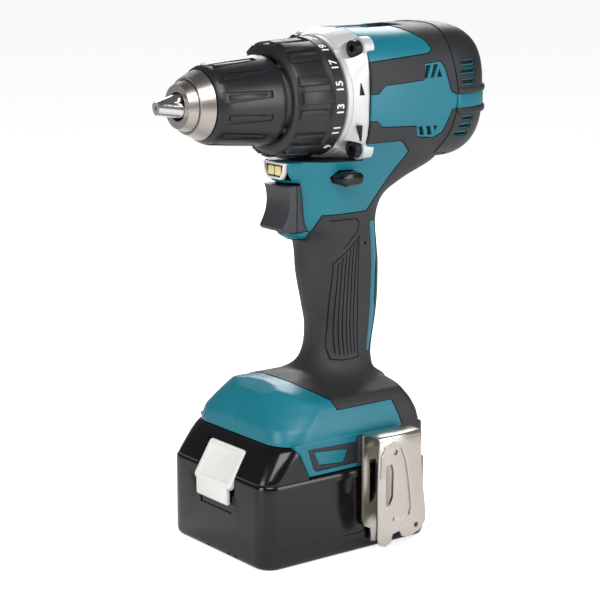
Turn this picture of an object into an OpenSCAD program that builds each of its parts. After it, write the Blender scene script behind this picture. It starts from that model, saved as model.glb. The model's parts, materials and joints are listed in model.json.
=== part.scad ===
// Cordless drill driver: keyless chuck, torque collar, two-speed planetary
// gearbox, brushless motor, pistol grip, slide-on battery and belt hook.
// Millimetres. +X runs along the spindle towards the bit, +Y is the tool's left
// and +Z is up. The origin is on the plane that the battery stands on, in the
// middle plane, below the joint between the gear case and the housings.

/* [Spindle line] */
// Height of the spindle axis above the battery's base
axis_z = 211; // [208:1:216]
// Rear end of the motor barrel
rear_x = -79; // [-82:0.5:-78]
// Rear end of the band round the barrel
band_x = -83.4; // [-86:0.2:-82]
// Front end of the gear case flange
flange_x = 12; // [11:0.5:13]

/* [Chuck] */
// Outer radius of the sleeve at its rear edge
sleeve_r = 20.6; // [20:0.1:22]
// Outer radius of the sleeve at its front shoulder
sleeve_front_r = 17.8; // [17.4:0.1:18.6]
// Front face of the chuck body
nose_x = 86; // [84:0.5:88]
// Rear face of the sleeve
sleeve_x = 40; // [39.5:0.1:40.5]
// Radius of the bore that takes the largest shank
shank_r = 6.6; // [6.5:0.05:6.8]
// Radius of each jaw's round stem
jaw_r = 4; // [3.6:0.1:4.1]
// Angle between a jaw and the spindle axis
jaw_tilt = 16; // [15:0.5:17]
// How far the closed jaws stand out of the nose
jaw_out = 11; // [9:0.5:12]
// Length of a jaw along the spindle axis
jaw_len = 30; // [28:0.5:31]
// Radius of the smallest shank that the closed jaws grip
grip_r = 0.8; // [0.75:0.05:1]

/* [Torque collar] */
// Outer radius of the collar at its rear edge
collar_r = 27.9; // [27.5:0.1:28.3]
// Number of grip pads round the collar
collar_pads = 12; // [8:1:16]
// Front face of the collar
collar_x = 38; // [37.5:0.1:38.5]

/* [Gearbox] */
// Gear module
gear_module = 0.8; // [0.75:0.01:0.82]
// Teeth of each sun gear
sun_teeth = 15; // [15:15]
// Teeth of each planet gear
planet_teeth = 15; // [15:15]
// Radius of the pins that the planets turn on
pin_r = 1.55; // [1.2:0.05:1.8]
// Radial running clearance of the planets on their pins
run_gap = 0.05; // [0.03:0.01:0.08]
// Outer radius of the ring gears
ring_r = 21; // [20.6:0.1:21.4]

/* [Motor] */
// Outer radius of the stator core
stator_r = 22.5; // [21:0.1:23]
// Length of the stator core
stator_len = 22; // [18:1:24]
// Outer radius of the rotor's magnets
rotor_r = 12.2; // [11:0.1:12.6]
// Radius of the motor shaft
shaft_r = 2.5; // [2:0.1:2.7]
// Number of stator teeth and coils
stator_teeth = 6; // [6:3:9]
// Number of fan blades
fan_blades = 11; // [7:2:15]

/* [Housing] */
// Half the width of the motor barrel
barrel_half = 32.5; // [31.5:0.5:34]
// Wall of the housings
wall = 2.6; // [2.2:0.1:3]
// Thickness of the rubber over the housings
rubber = 1.2; // [0.8:0.1:1.4]
// Radius of the cavity that the motor and gear case lie in
barrel_bore_r = 27; // [26.5:0.1:27.2]

/* [Foot and battery] */
// Width of the battery
battery_w = 78.6; // [77:0.2:82]
// Length of the battery
battery_len = 97.5; // [96:0.5:100]
// Front end of the battery
battery_x = 67.2; // [66:0.1:68.5]
// Height of the battery's lower case
battery_h = 38; // [37.8:0.1:39]
// Radius of one cell
cell_r = 8.9; // [8.6:0.1:9]
// Length of one cell
cell_len = 65; // [60:0.5:66]
// Wall of the battery case
case_wall = 1.2; // [1:0.1:1.4]

/* [Belt hook] */
// Width of the hook's strip
hook_w = 25; // [20:1:26]
// Thickness of the hook's strip
hook_t = 1.5; // [1.2:0.1:1.8]
// Gap between the hook's two leaves
hook_gap = 9; // [7:0.5:12]

/* [Controls] */
// Half the width of the trigger
trigger_half = 9.2; // [8:0.1:9.6]
// How far the trigger travels
trigger_travel = 6; // [4:0.5:7]
// How far the direction lever travels each way
lever_travel = 3; // [2:0.5:3.5]

/* [Hidden] */
$fn = 48;
gap = 0.2;      // clearance between neighbours that don't move
slack = 0.3;    // clearance between neighbours that slide or turn
eps = 0.02;     // thickness of a section that a hull joins

teal = [0.02, 0.42, 0.47];
black = [0.09, 0.09, 0.10];
steel = [0.72, 0.72, 0.72];
white = [0.86, 0.86, 0.84];

// Gear sizes that follow from the tooth counts.
ring_teeth = sun_teeth + 2 * planet_teeth;
addendum = 0.9 * gear_module;
dedendum = 1.25 * gear_module;
backlash = 0.08;
planet_orbit = gear_module * (sun_teeth + planet_teeth) / 2;
ring_tip_r = gear_module * ring_teeth / 2 - addendum;
sun_root_r = gear_module * sun_teeth / 2 - dedendum;
planets = 3;

// Stations along the spindle, each the rear face of a piece.
planet_1_x = -25;
planet_1_len = 3.5;
disc_len = 2;
carrier_1_x = planet_1_x + planet_1_len + slack;
ring_1_x = planet_1_x - slack;
ring_1_end = carrier_1_x - 1;
planet_2_x = -17;
planet_2_len = 5.4;
carrier_2_x = planet_2_x + planet_2_len + slack;
ring_2_x = carrier_1_x + disc_len + slack;
ring_2_end = carrier_2_x + slack;
planet_3_x = carrier_2_x + disc_len + slack;
planet_3_len = 6;
carrier_3_x = planet_3_x + planet_3_len + slack;
ring_3_x = ring_2_end + 0.5;
ring_3_end = carrier_3_x + 1.5;
carrier_r = ring_tip_r - 0.5;
case_bore_r = ring_r + 0.1;
case_r = case_bore_r + 2.2;
case_tail_x = -31;
tail_plate_len = 5;
bearing_r = 8;
bearing_len = 4;
front_bearing_x = case_tail_x;
nose_tube_r = 14;
nose_tube_x = 35;
spindle_r = 5;
spindle_bearing_r = 10;
spindle_bearing_len = 7;
spindle_bearing_x = nose_tube_x - spindle_bearing_len - 1;
spindle_end = sleeve_x + 6;
thread_r = 6;

// Chuck.
body_r = 17.2;
jaw_tip_x = nose_x + jaw_out;
jaw_tip_r = 2.8;
jaw_axis_x = jaw_tip_x - (jaw_r / cos(jaw_tilt) - jaw_tip_r) / tan(jaw_tilt);
jaw_gap = 0.1;
nut_x = 58;
nut_len = 7;
nut_r = body_r - 0.1;
ring_front_x = nose_x - 4.5;
ring_rear_x = nose_x - 10.7;
ring_small_r = 12.2;
ring_big_r = 15.7;
chuck_rear_r = 12;

// Motor.
stator_x = -62;
coil_over = 4.5;
fan_x = -35.2;
fan_len = 4;
fan_r = 20;
rear_bearing_x = -74.6;

// Foot and battery.
skirt_z = battery_h + 2.4;
skirt_inner = 33.5;
skirt_outer = battery_w / 2 - 1;
pad_y = battery_w / 2 + 1.2;
skirt_rear_x = -26.3;
deck_z = 57;
battery_rear = battery_x - battery_len;
rail_half = skirt_inner - slack;
hook_x = 0.5;
hook_z = 50;
insert_r = 3;
tap_r = 1.65;
button_w = 31;

// ---------------------------------------------------------------- helpers

// Places children with their local Z along the spindle axis, from a station.
module on_axis(x) {
    translate([x, 0, axis_z]) rotate([0, 90, 0]) children();
}

module tube(r_out, r_in, h) {
    difference() {
        cylinder(r = r_out, h = h);
        translate([0, 0, -1]) cylinder(r = r_in, h = h + 2);
    }
}

module around(n) {
    for (i = [0 : n - 1]) rotate([0, 0, i * 360 / n]) children();
}

module left_half() {
    intersection() {
        children();
        translate([-150, 0, -5]) cube([300, 60, 300]);
    }
}

module right_half() {
    intersection() {
        children();
        translate([-150, -60, -5]) cube([300, 60, 300]);
    }
}

// A rounded box outline, centred in Y, for sections and cases.
function squircle(a, b, p, n = 32) = [
    for (i = [0 : n - 1])
        let (t = i * 360 / n, c = cos(t), s = sin(t))
        [a * sign(c) * pow(abs(c), 2 / p), b * sign(s) * pow(abs(s), 2 / p)]
];

// A thin section across X, between two heights.
module section_x(x, half, z0, z1, p) {
    translate([x, 0, (z0 + z1) / 2]) rotate([90, 0, 90])
        linear_extrude(eps) polygon(squircle(half, (z1 - z0) / 2, p));
}

// A thin section across Z, between a rear and a front station.
module section_z(z, x0, x1, half, p) {
    translate([(x0 + x1) / 2, 0, z])
        linear_extrude(eps) polygon(squircle((x1 - x0) / 2, half, p));
}

// ------------------------------------------------------------------ gears

function involute(rb, r) = r <= rb ? 0 : sqrt(r * r / (rb * rb) - 1) * 180 / PI - acos(rb / r);

// Half the angle that a tooth fills at radius r.
function half_tooth(teeth, rp, rb, r, thin) =
    90 / teeth + involute(rb, rp) - involute(rb, r) - thin / rp * 180 / PI;

// Outline of a gear whose teeth run from root radius r0 to tip radius r1.
function gear_outline(teeth, r0, r1, thin) =
    let (
        rp = gear_module * teeth / 2,
        rb = rp * cos(20),
        steps = [for (k = [0 : 4]) r0 + (r1 - r0) * k / 4]
    )
    [
        for (i = [0 : teeth - 1]) each concat(
            [for (k = [0 : 4])
                let (r = steps[k], a = i * 360 / teeth - half_tooth(teeth, rp, rb, r, thin))
                [r * cos(a), r * sin(a)]],
            [for (k = [4 : -1 : 0])
                let (r = steps[k], a = i * 360 / teeth + half_tooth(teeth, rp, rb, r, thin))
                [r * cos(a), r * sin(a)]]
        )
    ];

module spur(teeth, len) {
    rp = gear_module * teeth / 2;
    linear_extrude(len) polygon(gear_outline(teeth, rp - dedendum, rp + addendum, backlash));
}

// A ring gear. Its spaces are a spur's teeth, turned so that a space faces local X.
module ring_gear(len) {
    rp = gear_module * ring_teeth / 2;
    linear_extrude(len) difference() {
        circle(r = ring_r, $fn = 96);
        polygon(gear_outline(ring_teeth, rp - addendum, rp + dedendum, -backlash));
    }
}

module planet(x, len, i) {
    color("lightgray") on_axis(x) rotate([0, 0, i * 360 / planets]) translate([planet_orbit, 0, 0])
        difference() {
            spur(planet_teeth, len);
            translate([0, 0, -1]) cylinder(r = pin_r + run_gap, h = len + 2);
        }
}

// Three pins behind a carrier's disc.
module carrier_pins(len) {
    around(planets) translate([planet_orbit, 0, -len]) cylinder(r = pin_r, h = len + 1);
}

module carrier(x, planet_len, sun_len) {
    color("gray") on_axis(x) union() {
        cylinder(r = carrier_r, h = disc_len);
        carrier_pins(planet_len + slack);
        translate([0, 0, disc_len - 0.5]) spur(sun_teeth, sun_len + 0.5);
    }
}

// ------------------------------------------------------------------ chuck

// A space along jaw i, from the jaw's foremost point backwards.
module jaw_stem(i, r, from, len) {
    translate([0, 0, axis_z]) rotate([i * 120, 0, 0]) translate([jaw_axis_x, 0, 0])
        rotate([0, -90 + jaw_tilt, 0]) translate([0, 0, from]) cylinder(r = r, h = len);
}

module chuck_body() {
    color("lightgray") difference() {
        union() {
            on_axis(sleeve_x) cylinder(r = chuck_rear_r, h = 5);
            on_axis(sleeve_x + 4) cylinder(r = body_r, h = nut_x - slack - sleeve_x - 4);
            on_axis(sleeve_x + 4) cylinder(r = 11.2, h = ring_front_x - 2 - sleeve_x - 4);
            on_axis(nut_x + nut_len + slack) cylinder(r = ring_small_r - 0.6, h = nose_x - 4 - nut_x - nut_len - slack);
            on_axis(nose_x - 4) cylinder(r1 = ring_small_r - 0.6, r2 = 9.9, h = 4);
        }
        on_axis(53) cylinder(r = shank_r, h = 60);
        on_axis(sleeve_x - 1) cylinder(r = thread_r, h = 7.2);
        on_axis(sleeve_x) cylinder(r = 3.1, h = 20);
        for (i = [0 : 2]) jaw_stem(i, jaw_r + 0.12, -12, 62);
    }
}

module jaw(i) {
    color("silver") difference() {
        intersection() {
            jaw_stem(i, jaw_r, -12, 60);
            // Only the sixth each side of the jaw's own direction, clear of its neighbours.
            translate([0, 0, axis_z]) rotate([i * 120, 0, 0]) translate([jaw_tip_x - jaw_len, 0, 0])
                rotate([90, 0, 90]) translate([0, jaw_gap, 0])
                linear_extrude(jaw_len) polygon([[0, 0], [20, 20 * tan(30)], [20, 30], [-20, 30], [-20, 20 * tan(30)]]);
        }
        on_axis(jaw_tip_x - jaw_len - 1) cylinder(r = grip_r, h = jaw_len + 2);
        // Room for the shank screw and for wide shanks behind the grip faces.
        on_axis(jaw_tip_x - jaw_len - 1) cylinder(r = 2.4, h = jaw_len - 15);
    }
}

module chuck_nut() {
    r_at = function (x) (jaw_axis_x - x) * tan(jaw_tilt) + jaw_r / cos(jaw_tilt) + 0.3;
    color("dimgray") on_axis(nut_x) difference() {
        cylinder(r = nut_r, h = nut_len);
        translate([0, 0, -1]) cylinder(r1 = r_at(nut_x - 1), r2 = r_at(nut_x + nut_len + 1), h = nut_len + 2);
    }
}

module chuck_sleeve() {
    inner = body_r + 0.3;
    color(black) on_axis(sleeve_x) difference() {
        union() {
            rotate_extrude() polygon([
                [inner, 0], [sleeve_r, 0], [sleeve_r, 2], [sleeve_r - 0.6, 8],
                [sleeve_front_r + 0.6, 28], [sleeve_front_r, 31], [ring_big_r + 0.7, 34.6],
                [ring_big_r - 1.5, 34.6], [ring_big_r - 1.5, 30], [inner, 26]
            ]);
            around(12) translate([sleeve_r - 2.3, -1.6, 8]) cube([1.6, 3.2, 20]);
        }
        around(12) rotate([0, 0, 15]) translate([sleeve_r - 0.75, -2, 5]) cube([3, 4, 21]);
    }
}

module nose_ring() {
    color("silver") on_axis(ring_rear_x) rotate_extrude() polygon([
        [ring_small_r + 0.1, 0], [ring_big_r, 0], [ring_small_r + 0.6, ring_front_x - ring_rear_x],
        [ring_small_r - 0.3, ring_front_x - ring_rear_x], [ring_small_r - 0.3, 2]
    ]);
}

module chuck_screw() {
    color("dimgray") on_axis(spindle_end - 14) union() {
        cylinder(r = 2.5, h = 14 + 7.6);
        translate([0, 0, 14 + 7.3]) cylinder(r1 = 2.5, r2 = 5, h = 2.4);
    }
}

module spindle() {
    color("darkgray") difference() {
        union() {
            on_axis(carrier_3_x) cylinder(r = carrier_r, h = 3);
            on_axis(carrier_3_x) carrier_pins(planet_3_len + slack);
            on_axis(carrier_3_x + 2) cylinder(r = 8, h = 6);
            on_axis(carrier_3_x + 2) cylinder(r = spindle_r, h = spindle_end - carrier_3_x - 2 - 0.4);
        }
        on_axis(spindle_end - 14.4) cylinder(r = 2.6, h = 20);
    }
}

// ----------------------------------------------------------------- gearbox

lug_y = 22;
lug_z = 23;

module flange_corners() {
    for (y = [-1, 1], z = [-1, 1]) translate([0, y * lug_y, axis_z + z * lug_z]) children();
}

module gear_case() {
    color("silver") difference() {
        union() {
            on_axis(case_tail_x) cylinder(r = case_r, h = -case_tail_x);
            on_axis(0) cylinder(r = 27, h = flange_x - 0.4);
            on_axis(6) cylinder(r = 28.5, h = flange_x - 6 - 0.4);
            hull() {
                section_x(0.3, 29.4, axis_z - 29.4, axis_z + 31.4, 3.4);
                on_axis(8.6) cylinder(r = 29, h = 0.4);
            }
            flange_corners() translate([-4, 0, 0]) rotate([0, 90, 0]) cylinder(r = 5.2, h = 5.6);
            on_axis(0) cylinder(r = nose_tube_r, h = nose_tube_x);
        }
        on_axis(case_tail_x - 1) cylinder(r = case_bore_r, h = ring_3_end + gap - case_tail_x + 1);
        on_axis(-1) cylinder(r = 18, h = 7);
        on_axis(4) cylinder(r = 8.6, h = nose_tube_x);
        on_axis(spindle_bearing_x) cylinder(r = spindle_bearing_r, h = 20);
        flange_corners() translate([-5, 0, 0]) rotate([0, 90, 0]) {
            cylinder(r = 2.1, h = 20);
            translate([0, 0, 6.6]) cylinder(r = 4.4, h = 20);
        }
        // Slot over the sliding ring gear for the shift wire.
        translate([-24, -6, axis_z + 18]) cube([13, 12, 10]);
        // Seats of the clutch pins.
        on_axis(ring_3_end - 1) around(6) translate([20.2, 0, 0]) cylinder(r = 1.6, h = 20);
    }
}

module gear_case_screws() {
    color(black) flange_corners() translate([1.7, 0, 0]) rotate([0, 90, 0]) difference() {
        union() {
            translate([0, 0, -22]) cylinder(r = 1.9, h = 22.5);
            cylinder(r = 3.9, h = 3.4);
        }
        translate([0, 0, 1.6]) cylinder(r = 1.9, h = 3, $fn = 6);
    }
}

module ring_gear_1() {
    color("gray") on_axis(ring_1_x) ring_gear(ring_1_end - ring_1_x);
}

module ring_gear_2() {
    color("gray") on_axis(ring_2_x) difference() {
        ring_gear(ring_2_end - ring_2_x);
        translate([0, 0, 2]) tube(ring_r + 1, ring_r - 1.2, 1.6);
    }
}

module clutch_ring() {
    color("gray") on_axis(ring_3_x) ring_gear(ring_3_end - ring_3_x);
}

spring_x = flange_x + 3.7;
spring_wire = 0.9;
spring_pitch = 2.4;
nut_rest_x = spring_x + 9.3;
nut_travel = 2.4;
collar_bore_r = 22.2;
collar_groove_r = 23.6;

// A thrust ring with six pins, which press on the clutch ring's rim.
module clutch_pins() {
    color("silver") union() {
        on_axis(ring_3_end + 0.1) around(6) translate([20.2, 0, 0])
            cylinder(r = 1.5, h = flange_x + 2.2 - ring_3_end);
        on_axis(flange_x + 1.8) tube(21.9, nose_tube_r + 0.3, 1.6);
    }
}

module clutch_spring() {
    color("dimgray") on_axis(spring_x + spring_wire) for (k = [0 : 3]) translate([0, 0, k * spring_pitch])
        rotate_extrude() translate([17.5, 0]) circle(r = spring_wire, $fn = 16);
}

module adjust_nut() {
    color("dimgray") on_axis(nut_rest_x) difference() {
        union() {
            cylinder(r = collar_bore_r - slack, h = 3);
            around(4) translate([20, -2, 0]) cube([3.2, 4, 3]);
        }
        translate([0, 0, -1]) cylinder(r = nose_tube_r + 0.1, h = 7);
    }
}

module torque_collar() {
    len = collar_x - flange_x;
    room = nut_rest_x + 3 + nut_travel + slack - flange_x;
    color(black) on_axis(flange_x) difference() {
        union() {
            rotate_extrude($fn = 96) polygon([
                [collar_bore_r, 0], [collar_r, 0], [collar_r, 5], [collar_r - 1.3, 6.4],
                [collar_r - 2.7, len - 7], [collar_r - 3.4, len - 3], [collar_r - 5.4, len],
                [nose_tube_r + 4, len], [nose_tube_r + 0.6, len - 3], [nose_tube_r + 0.6, room],
                [collar_bore_r, room]
            ]);
            around(collar_pads) translate([collar_r - 4, -2.6, 7.4]) cube([3.3, 5.2, len - 12.4]);
        }
        // Splines that carry the adjusting nut round.
        around(4) translate([20, -2.3, -1]) cube([collar_groove_r - 20, 4.6, room + 1]);
    }
}

module spindle_bearing() {
    color("silver") on_axis(spindle_bearing_x + 0.1) difference() {
        cylinder(r = spindle_bearing_r - 0.03, h = spindle_bearing_len - 0.2);
        translate([0, 0, -1]) cylinder(r = spindle_r + run_gap, h = spindle_bearing_len + 2);
        translate([0, 0, spindle_bearing_len - 1]) tube(8.6, 6.4, 2);
    }
}

module tail_plate() {
    color(black) on_axis(case_tail_x + 0.1) difference() {
        cylinder(r = case_bore_r - 0.05, h = tail_plate_len);
        translate([0, 0, -1]) cylinder(r = bearing_r + 0.03, h = bearing_len + 1);
        translate([0, 0, 2]) cylinder(r = sun_root_r + 2.6, h = 5);
    }
}

// ------------------------------------------------------------------- motor

module stator_core() {
    color("slategray") on_axis(stator_x) linear_extrude(stator_len) difference() {
        circle(r = stator_r, $fn = 96);
        difference() {
            circle(r = stator_r - 3.2, $fn = 96);
            around(stator_teeth) {
                translate([rotor_r + 0.4, -2.6]) square([9, 5.2]);
                intersection() {
                    difference() {
                        circle(r = rotor_r + 2.6, $fn = 96);
                        circle(r = rotor_r + 0.4, $fn = 96);
                    }
                    polygon([[0, 0], [20, -20 * tan(150 / stator_teeth)], [20, 20 * tan(150 / stator_teeth)]]);
                }
            }
        }
    }
}

// One coil hangs on each tooth, beyond both ends of the core.
module stator_coils() {
    inner = rotor_r + 2.7;
    outer = stator_r - 3.9;
    color([0.72, 0.35, 0.15]) on_axis(stator_x - coil_over) around(stator_teeth)
        translate([inner, 0, 0]) difference() {
            translate([0, -4.4, 0]) cube([outer - inner, 8.8, stator_len + 2 * coil_over]);
            translate([-1, -2.7, coil_over - 0.1]) cube([outer - inner + 2, 5.4, stator_len + 0.2]);
        }
}

module rotor_shaft() {
    color("silver") union() {
        on_axis(rear_bearing_x) cylinder(r = shaft_r, h = planet_1_x - rear_bearing_x);
        on_axis(planet_1_x - 0.5) spur(sun_teeth, planet_1_len + 0.4);
    }
}

module rotor_core() {
    color("dimgray") on_axis(stator_x - 0.5) tube(rotor_r, shaft_r + 0.02, stator_len + 1);
}

module fan() {
    color(black) on_axis(fan_x) difference() {
        union() {
            cylinder(r = 6, h = fan_len);
            cylinder(r = fan_r, h = 1);
            around(fan_blades) translate([5.5, -0.6, 0.5]) rotate([0, 0, 18]) cube([13.6, 1.2, fan_len - 0.7]);
        }
        translate([0, 0, -1]) cylinder(r = shaft_r, h = fan_len + 2);
    }
}

module motor_bearings() {
    color("silver") for (x = [front_bearing_x, rear_bearing_x - 0.1])
        on_axis(x) difference() {
            cylinder(r = bearing_r - 0.02, h = bearing_len);
            translate([0, 0, -1]) cylinder(r = shaft_r + 0.02, h = bearing_len + 2);
            for (z = [-0.5, bearing_len - 0.5]) translate([0, 0, z]) tube(6.6, 4.2, 1);
        }
}

// ----------------------------------------------------------------- housing

// The motor barrel, grown by g on every side, as sections along X: station, half
// width, and how far the top and the bottom lie from the axis.
barrel_sections = [
    [0, 30.6, 31.4, 31], [-14, 32.2, 31.2, 31], [-46, 32.5, 31.6, 31], [-57, 32, 31.2, 31.8],
    [-63, 30, 29.8, 31.2], [-68, 27, 27.2, 28.8], [-73, 22.4, 23.4, 24], [rear_x, 13, 14, 14]
];

module barrel(g) {
    wider = barrel_half - 32.5 + g;
    for (i = [0 : len(barrel_sections) - 2]) hull() for (s = [barrel_sections[i], barrel_sections[i + 1]])
        section_x(s[0] == rear_x ? rear_x - g : s[0], s[1] + wider, axis_z - s[3] - g, axis_z + s[2] + g, 3);
}

// The band that runs round the barrel's rear at the height of the axis.
module rear_band() {
    translate([0, 0, axis_z - 12.4]) linear_extrude(12) intersection() {
        translate([-50, 0]) polygon(squircle(-50 - band_x, barrel_half + 0.8, 2.4, 48));
        translate([-120, -60]) square([120 - 52, 120]);
    }
}

// Neck, grip and foot, grown by g, as sections along Z: height, rear, front,
// half width and roundness.
grip_sections = [
    [axis_z - 22, -56, 26, 26, 3], [axis_z - 32, -55, 26, 23, 3], [axis_z - 40, -37, 26, 21, 2.8],
    [axis_z - 46, -26, 25, 19.5, 2.8], [axis_z - 53, -21.6, 24.6, 18.3, 2.8],
    [axis_z - 61, -21.8, 24, 17.1, 2.6], [axis_z - 69, -22.5, 17.4, 16.1, 2.5],
    [axis_z - 83, -24.6, 16.6, 15.2, 2.4], [112, -24, 13.4, 14.8, 2.4], [100, -22.1, 10.9, 14.6, 2.4],
    [90, -19.9, 11.2, 15.4, 2.4], [80, -24.7, 22, 21, 2.6], [75, -24, 30, 28, 3]
];

module grip_body(g) {
    for (i = [0 : len(grip_sections) - 2]) hull() for (s = [grip_sections[i], grip_sections[i + 1]])
        section_z(s[0], s[1] - g, s[2] + g, s[3] + g, s[4]);
}

// The hollow of the grip, inside its wall.
module grip_cavity() {
    for (i = [3 : 9]) hull() for (s = [grip_sections[i], grip_sections[i + 1]])
        section_z(s[0], s[1] + wall, s[2] - wall, s[3] - wall, s[4]);
}

// The shelf above the trigger that holds the lamp.
module brow(g) {
    hull() {
        section_z(axis_z - 29 + g, -20, 32.8 + g, 14 + g, 4);
        section_z(axis_z - 34.5, -20, 32.8 + g, 12.5 + g, 4);
        section_z(axis_z - 38.4 - g, -20, 30.4 + g, 11 + g, 4);
    }
}

// A rectangle with round corners, from a rear to a front station.
module plate(x0, x1, half, r) {
    translate([x0 + r, -half]) square([x1 - x0 - 2 * r, 2 * half]);
    translate([x0, r - half]) square([x1 - x0, 2 * half - 2 * r]);
    for (x = [x0 + r, x1 - r], y = [r - half, half - r]) translate([x, y]) circle(r = r);
}

// The lip that guards the trigger from below.
module lip(g) {
    hull() {
        section_z(axis_z - 66 - g, -10, 21 + g, 7 + g, 3);
        section_z(axis_z - 62.4, -10, 29.4 + g, 9.4 + g, 3);
    }
}

foot_sections = [
    [79, -14, 36, 24, 4], [77, -20, 46, 29, 4], [72, -23.5, 51, 33.4, 4], [66, -25, 54, 36, 4.4],
    [deck_z + 3, -26, 55.4, 37.6, 5], [deck_z - 0.6, -26.2, 55.6, 38.2, 5]
];

module foot_body(g) {
    hull() for (s = foot_sections) section_z(s[0], s[1] - g, s[2] + g, s[3] + g, s[4]);
    // Skirts that hang down over the battery's rails, and the hook's two seats.
    difference() {
        translate([0, 0, skirt_z]) linear_extrude(deck_z - skirt_z + 0.5)
            plate(skirt_rear_x - g, 50, skirt_outer + g, 5);
        translate([41, -50, skirt_z - 1]) rotate([0, 30, 0]) cube([30, 100, 40]);
    }
    for (s = [-1, 1]) translate([hook_x - 13.5, s * (pad_y + skirt_outer - 3) / 2 - (pad_y - skirt_outer + 3) / 2, 43])
        cube([27, pad_y - skirt_outer + 3, 13.4]);
}

module body_solid(g) {
    barrel(g);
    grip_body(g);
    brow(g);
    lip(g);
    foot_body(g);
}

// What the housings keep clear for everything they hold.
module body_cavities() {
    difference() {
        on_axis(rear_split - 1) cylinder(r = barrel_bore_r, h = 80);
        // Ribs that the stator and the gear case lie in.
        for (x = [stator_x + 2, stator_x + stator_len - 5]) on_axis(x) tube(barrel_bore_r + 1, stator_r + gap, 3);
        for (x = [-27, -8]) on_axis(x) tube(barrel_bore_r + 1, case_r + gap, 4);
    }
    // Neck, grip and foot.
    translate([-20, -13, axis_z - 46.5]) cube([38, 26, 25]);
    grip_cavity();
    translate([-16, -12, 78]) cube([24, 24, 14]);
    translate([-21, -27, deck_z + 3]) cube([60, 54, 11.4]);
    translate([-15, -15, 70]) cube([24, 30, 9]);
    // The battery's bay, the terminals and the pocket of the battery's catch.
    translate([-32, -skirt_inner, 30]) cube([100, 2 * skirt_inner, deck_z - 30]);
    translate([-20, -20, deck_z - 1]) cube([24, 40, 6]);
    translate([catch_x - slack, -8, deck_z - 1]) cube([20, 16, 2.8]);
    // Trigger, direction lever, lamp and speed selector.
    translate([9.6, -trigger_half - slack, axis_z - 62]) cube([40, 2 * (trigger_half + slack), 23.9]);
    translate([1.4, -40, axis_z - 39.6]) cube([13.4, 80, 7.4]);
    translate([25.6, -8.8, axis_z - 37.4]) cube([20, 17.6, 8.6]);
    translate([-36, -8.5, axis_z + 26]) cube([34, 17, 20]);
    side_vents();
    flange_corners() translate([-22, 0, 0]) rotate([0, 90, 0]) cylinder(r = 2.1, h = 30);
    cover_screws() cylinder(r = 1.7, h = 16);
    gear_case_room();
}

// Slanted vents above and below each side's middle panel.
module side_vents() {
    for (s = [-1, 1], k = [0 : 3]) {
        translate([-39 - 3.4 * k, s * 29 - 11, axis_z - 21]) cube([2, 22, 8]);
        translate([-39 - 3.4 * k, s * 29 - 11, axis_z + 9]) cube([2, 22, 9]);
    }
}

// Two screws, at opposite corners, hold the rear cover on. Their heads lie behind
// local Z = 0, which points forward into the housings.
module cover_screws() {
    for (s = [-1, 1]) translate([-66, s * 19.8, axis_z + s * 19.8]) rotate([0, 90, 0]) children();
}

// Everything forward of the housings' front face belongs to the gear case.
module gear_case_room() {
    translate([0, -50, axis_z - 28.6]) cube([70, 100, 80]);
    on_axis(0) cylinder(r = 30.4, h = 70);
    flange_corners() translate([-4.2, 0, 0]) rotate([0, 90, 0]) cylinder(r = 5.5, h = 40);
}

rear_split = -62;
module behind(x) {
    translate([x - 60, -60, axis_z - 60]) cube([60, 120, 120]);
}

// Screws that join the halves: along the spindle, and height.
shell_screws = [[-31, 174.6], [-7, 144], [-4, 104], [-4, 84], [43, 66.4]];

// How far from the middle plane each shell screw's head starts.
function head_y(p) = p[1] > 170 ? 13 : p[1] > 90 ? 10 : p[1] > 70 ? 12 : 20;

module shell_screws_solid(extra) {
    for (p = shell_screws) translate([p[0], 8, p[1]]) rotate([90, 0, 0]) {
        cylinder(r = 1.45 + extra, h = 8 + head_y(p));
        translate([0, 0, 8 + head_y(p) - 0.5]) cylinder(r = 2.8 + extra, h = extra > 0 ? 40 : 2.4);
    }
}

// Posts round the shell screws, across the hollow of the grip.
module screw_posts() {
    for (p = shell_screws) translate([p[0], 0, p[1]]) rotate([90, 0, 0]) cylinder(r = 4, h = 26, center = true);
}

// Where rubber covers the body: the grip, the rear of the neck and the foot's top.
module rubber_zone() {
    translate([0, 50, 0]) rotate([90, 0, 0]) linear_extrude(100) polygon([
        [-62, axis_z - 26], [-24, axis_z - 26], [-6, axis_z - 52.4], [20.6, axis_z - 52.4],
        [27, axis_z - 65], [30, 100], [36, 79.6], [22.8, 70], [-12, 70], [-19, 58], [-62, 58]
    ]);
}

// Panels of rubber on the barrel's flanks and round its rear.
module barrel_rubber_zone() {
    for (z = [axis_z + 8, axis_z - 22]) translate([-62, -50, z]) cube([56, 100, 13]);
    translate([-62, -50, axis_z + 20.8]) cube([20, 100, 30]);
    translate([-62, -50, axis_z - 60]) cube([26, 100, 38.2]);
}

module housing_shell() {
    difference() {
        body_solid(0);
        difference() {
            body_cavities();
            screw_posts();
        }
        behind(rear_split);
        shell_screws_solid(0.15);
        hook_holes();
        // Shallow panels in the skirts, in front of the hook's seats.
        for (s = [-1, 1]) translate([28, s * (skirt_outer + 4), 48.4]) cube([26, 8.8, 10], center = true);
    }
}

module hook_holes() {
    for (s = [-1, 1]) translate([hook_x, s * (pad_y + 1), hook_z]) rotate([s * 90, 0, 0])
        cylinder(r = insert_r, h = 30);
}

module housing_left() {
    color(teal) union() { left_half() housing_shell(); }
}

module housing_right() {
    color(teal) union() { right_half() housing_shell(); }
}

module rubber_shell() {
    difference() {
        intersection() {
            union() { grip_body(rubber); barrel(rubber); foot_body(rubber); }
            union() { rubber_zone(); barrel_rubber_zone(); }
        }
        body_solid(0);
        behind(rear_split);
        gear_case_room();
        translate([9.6, -30, axis_z - 62.6]) cube([60, 60, 30]);
        shell_screws_solid(0.15);
        side_vents();
    }
}

module grip_left() {
    color(black) union() { left_half() rubber_shell(); }
}

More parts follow.
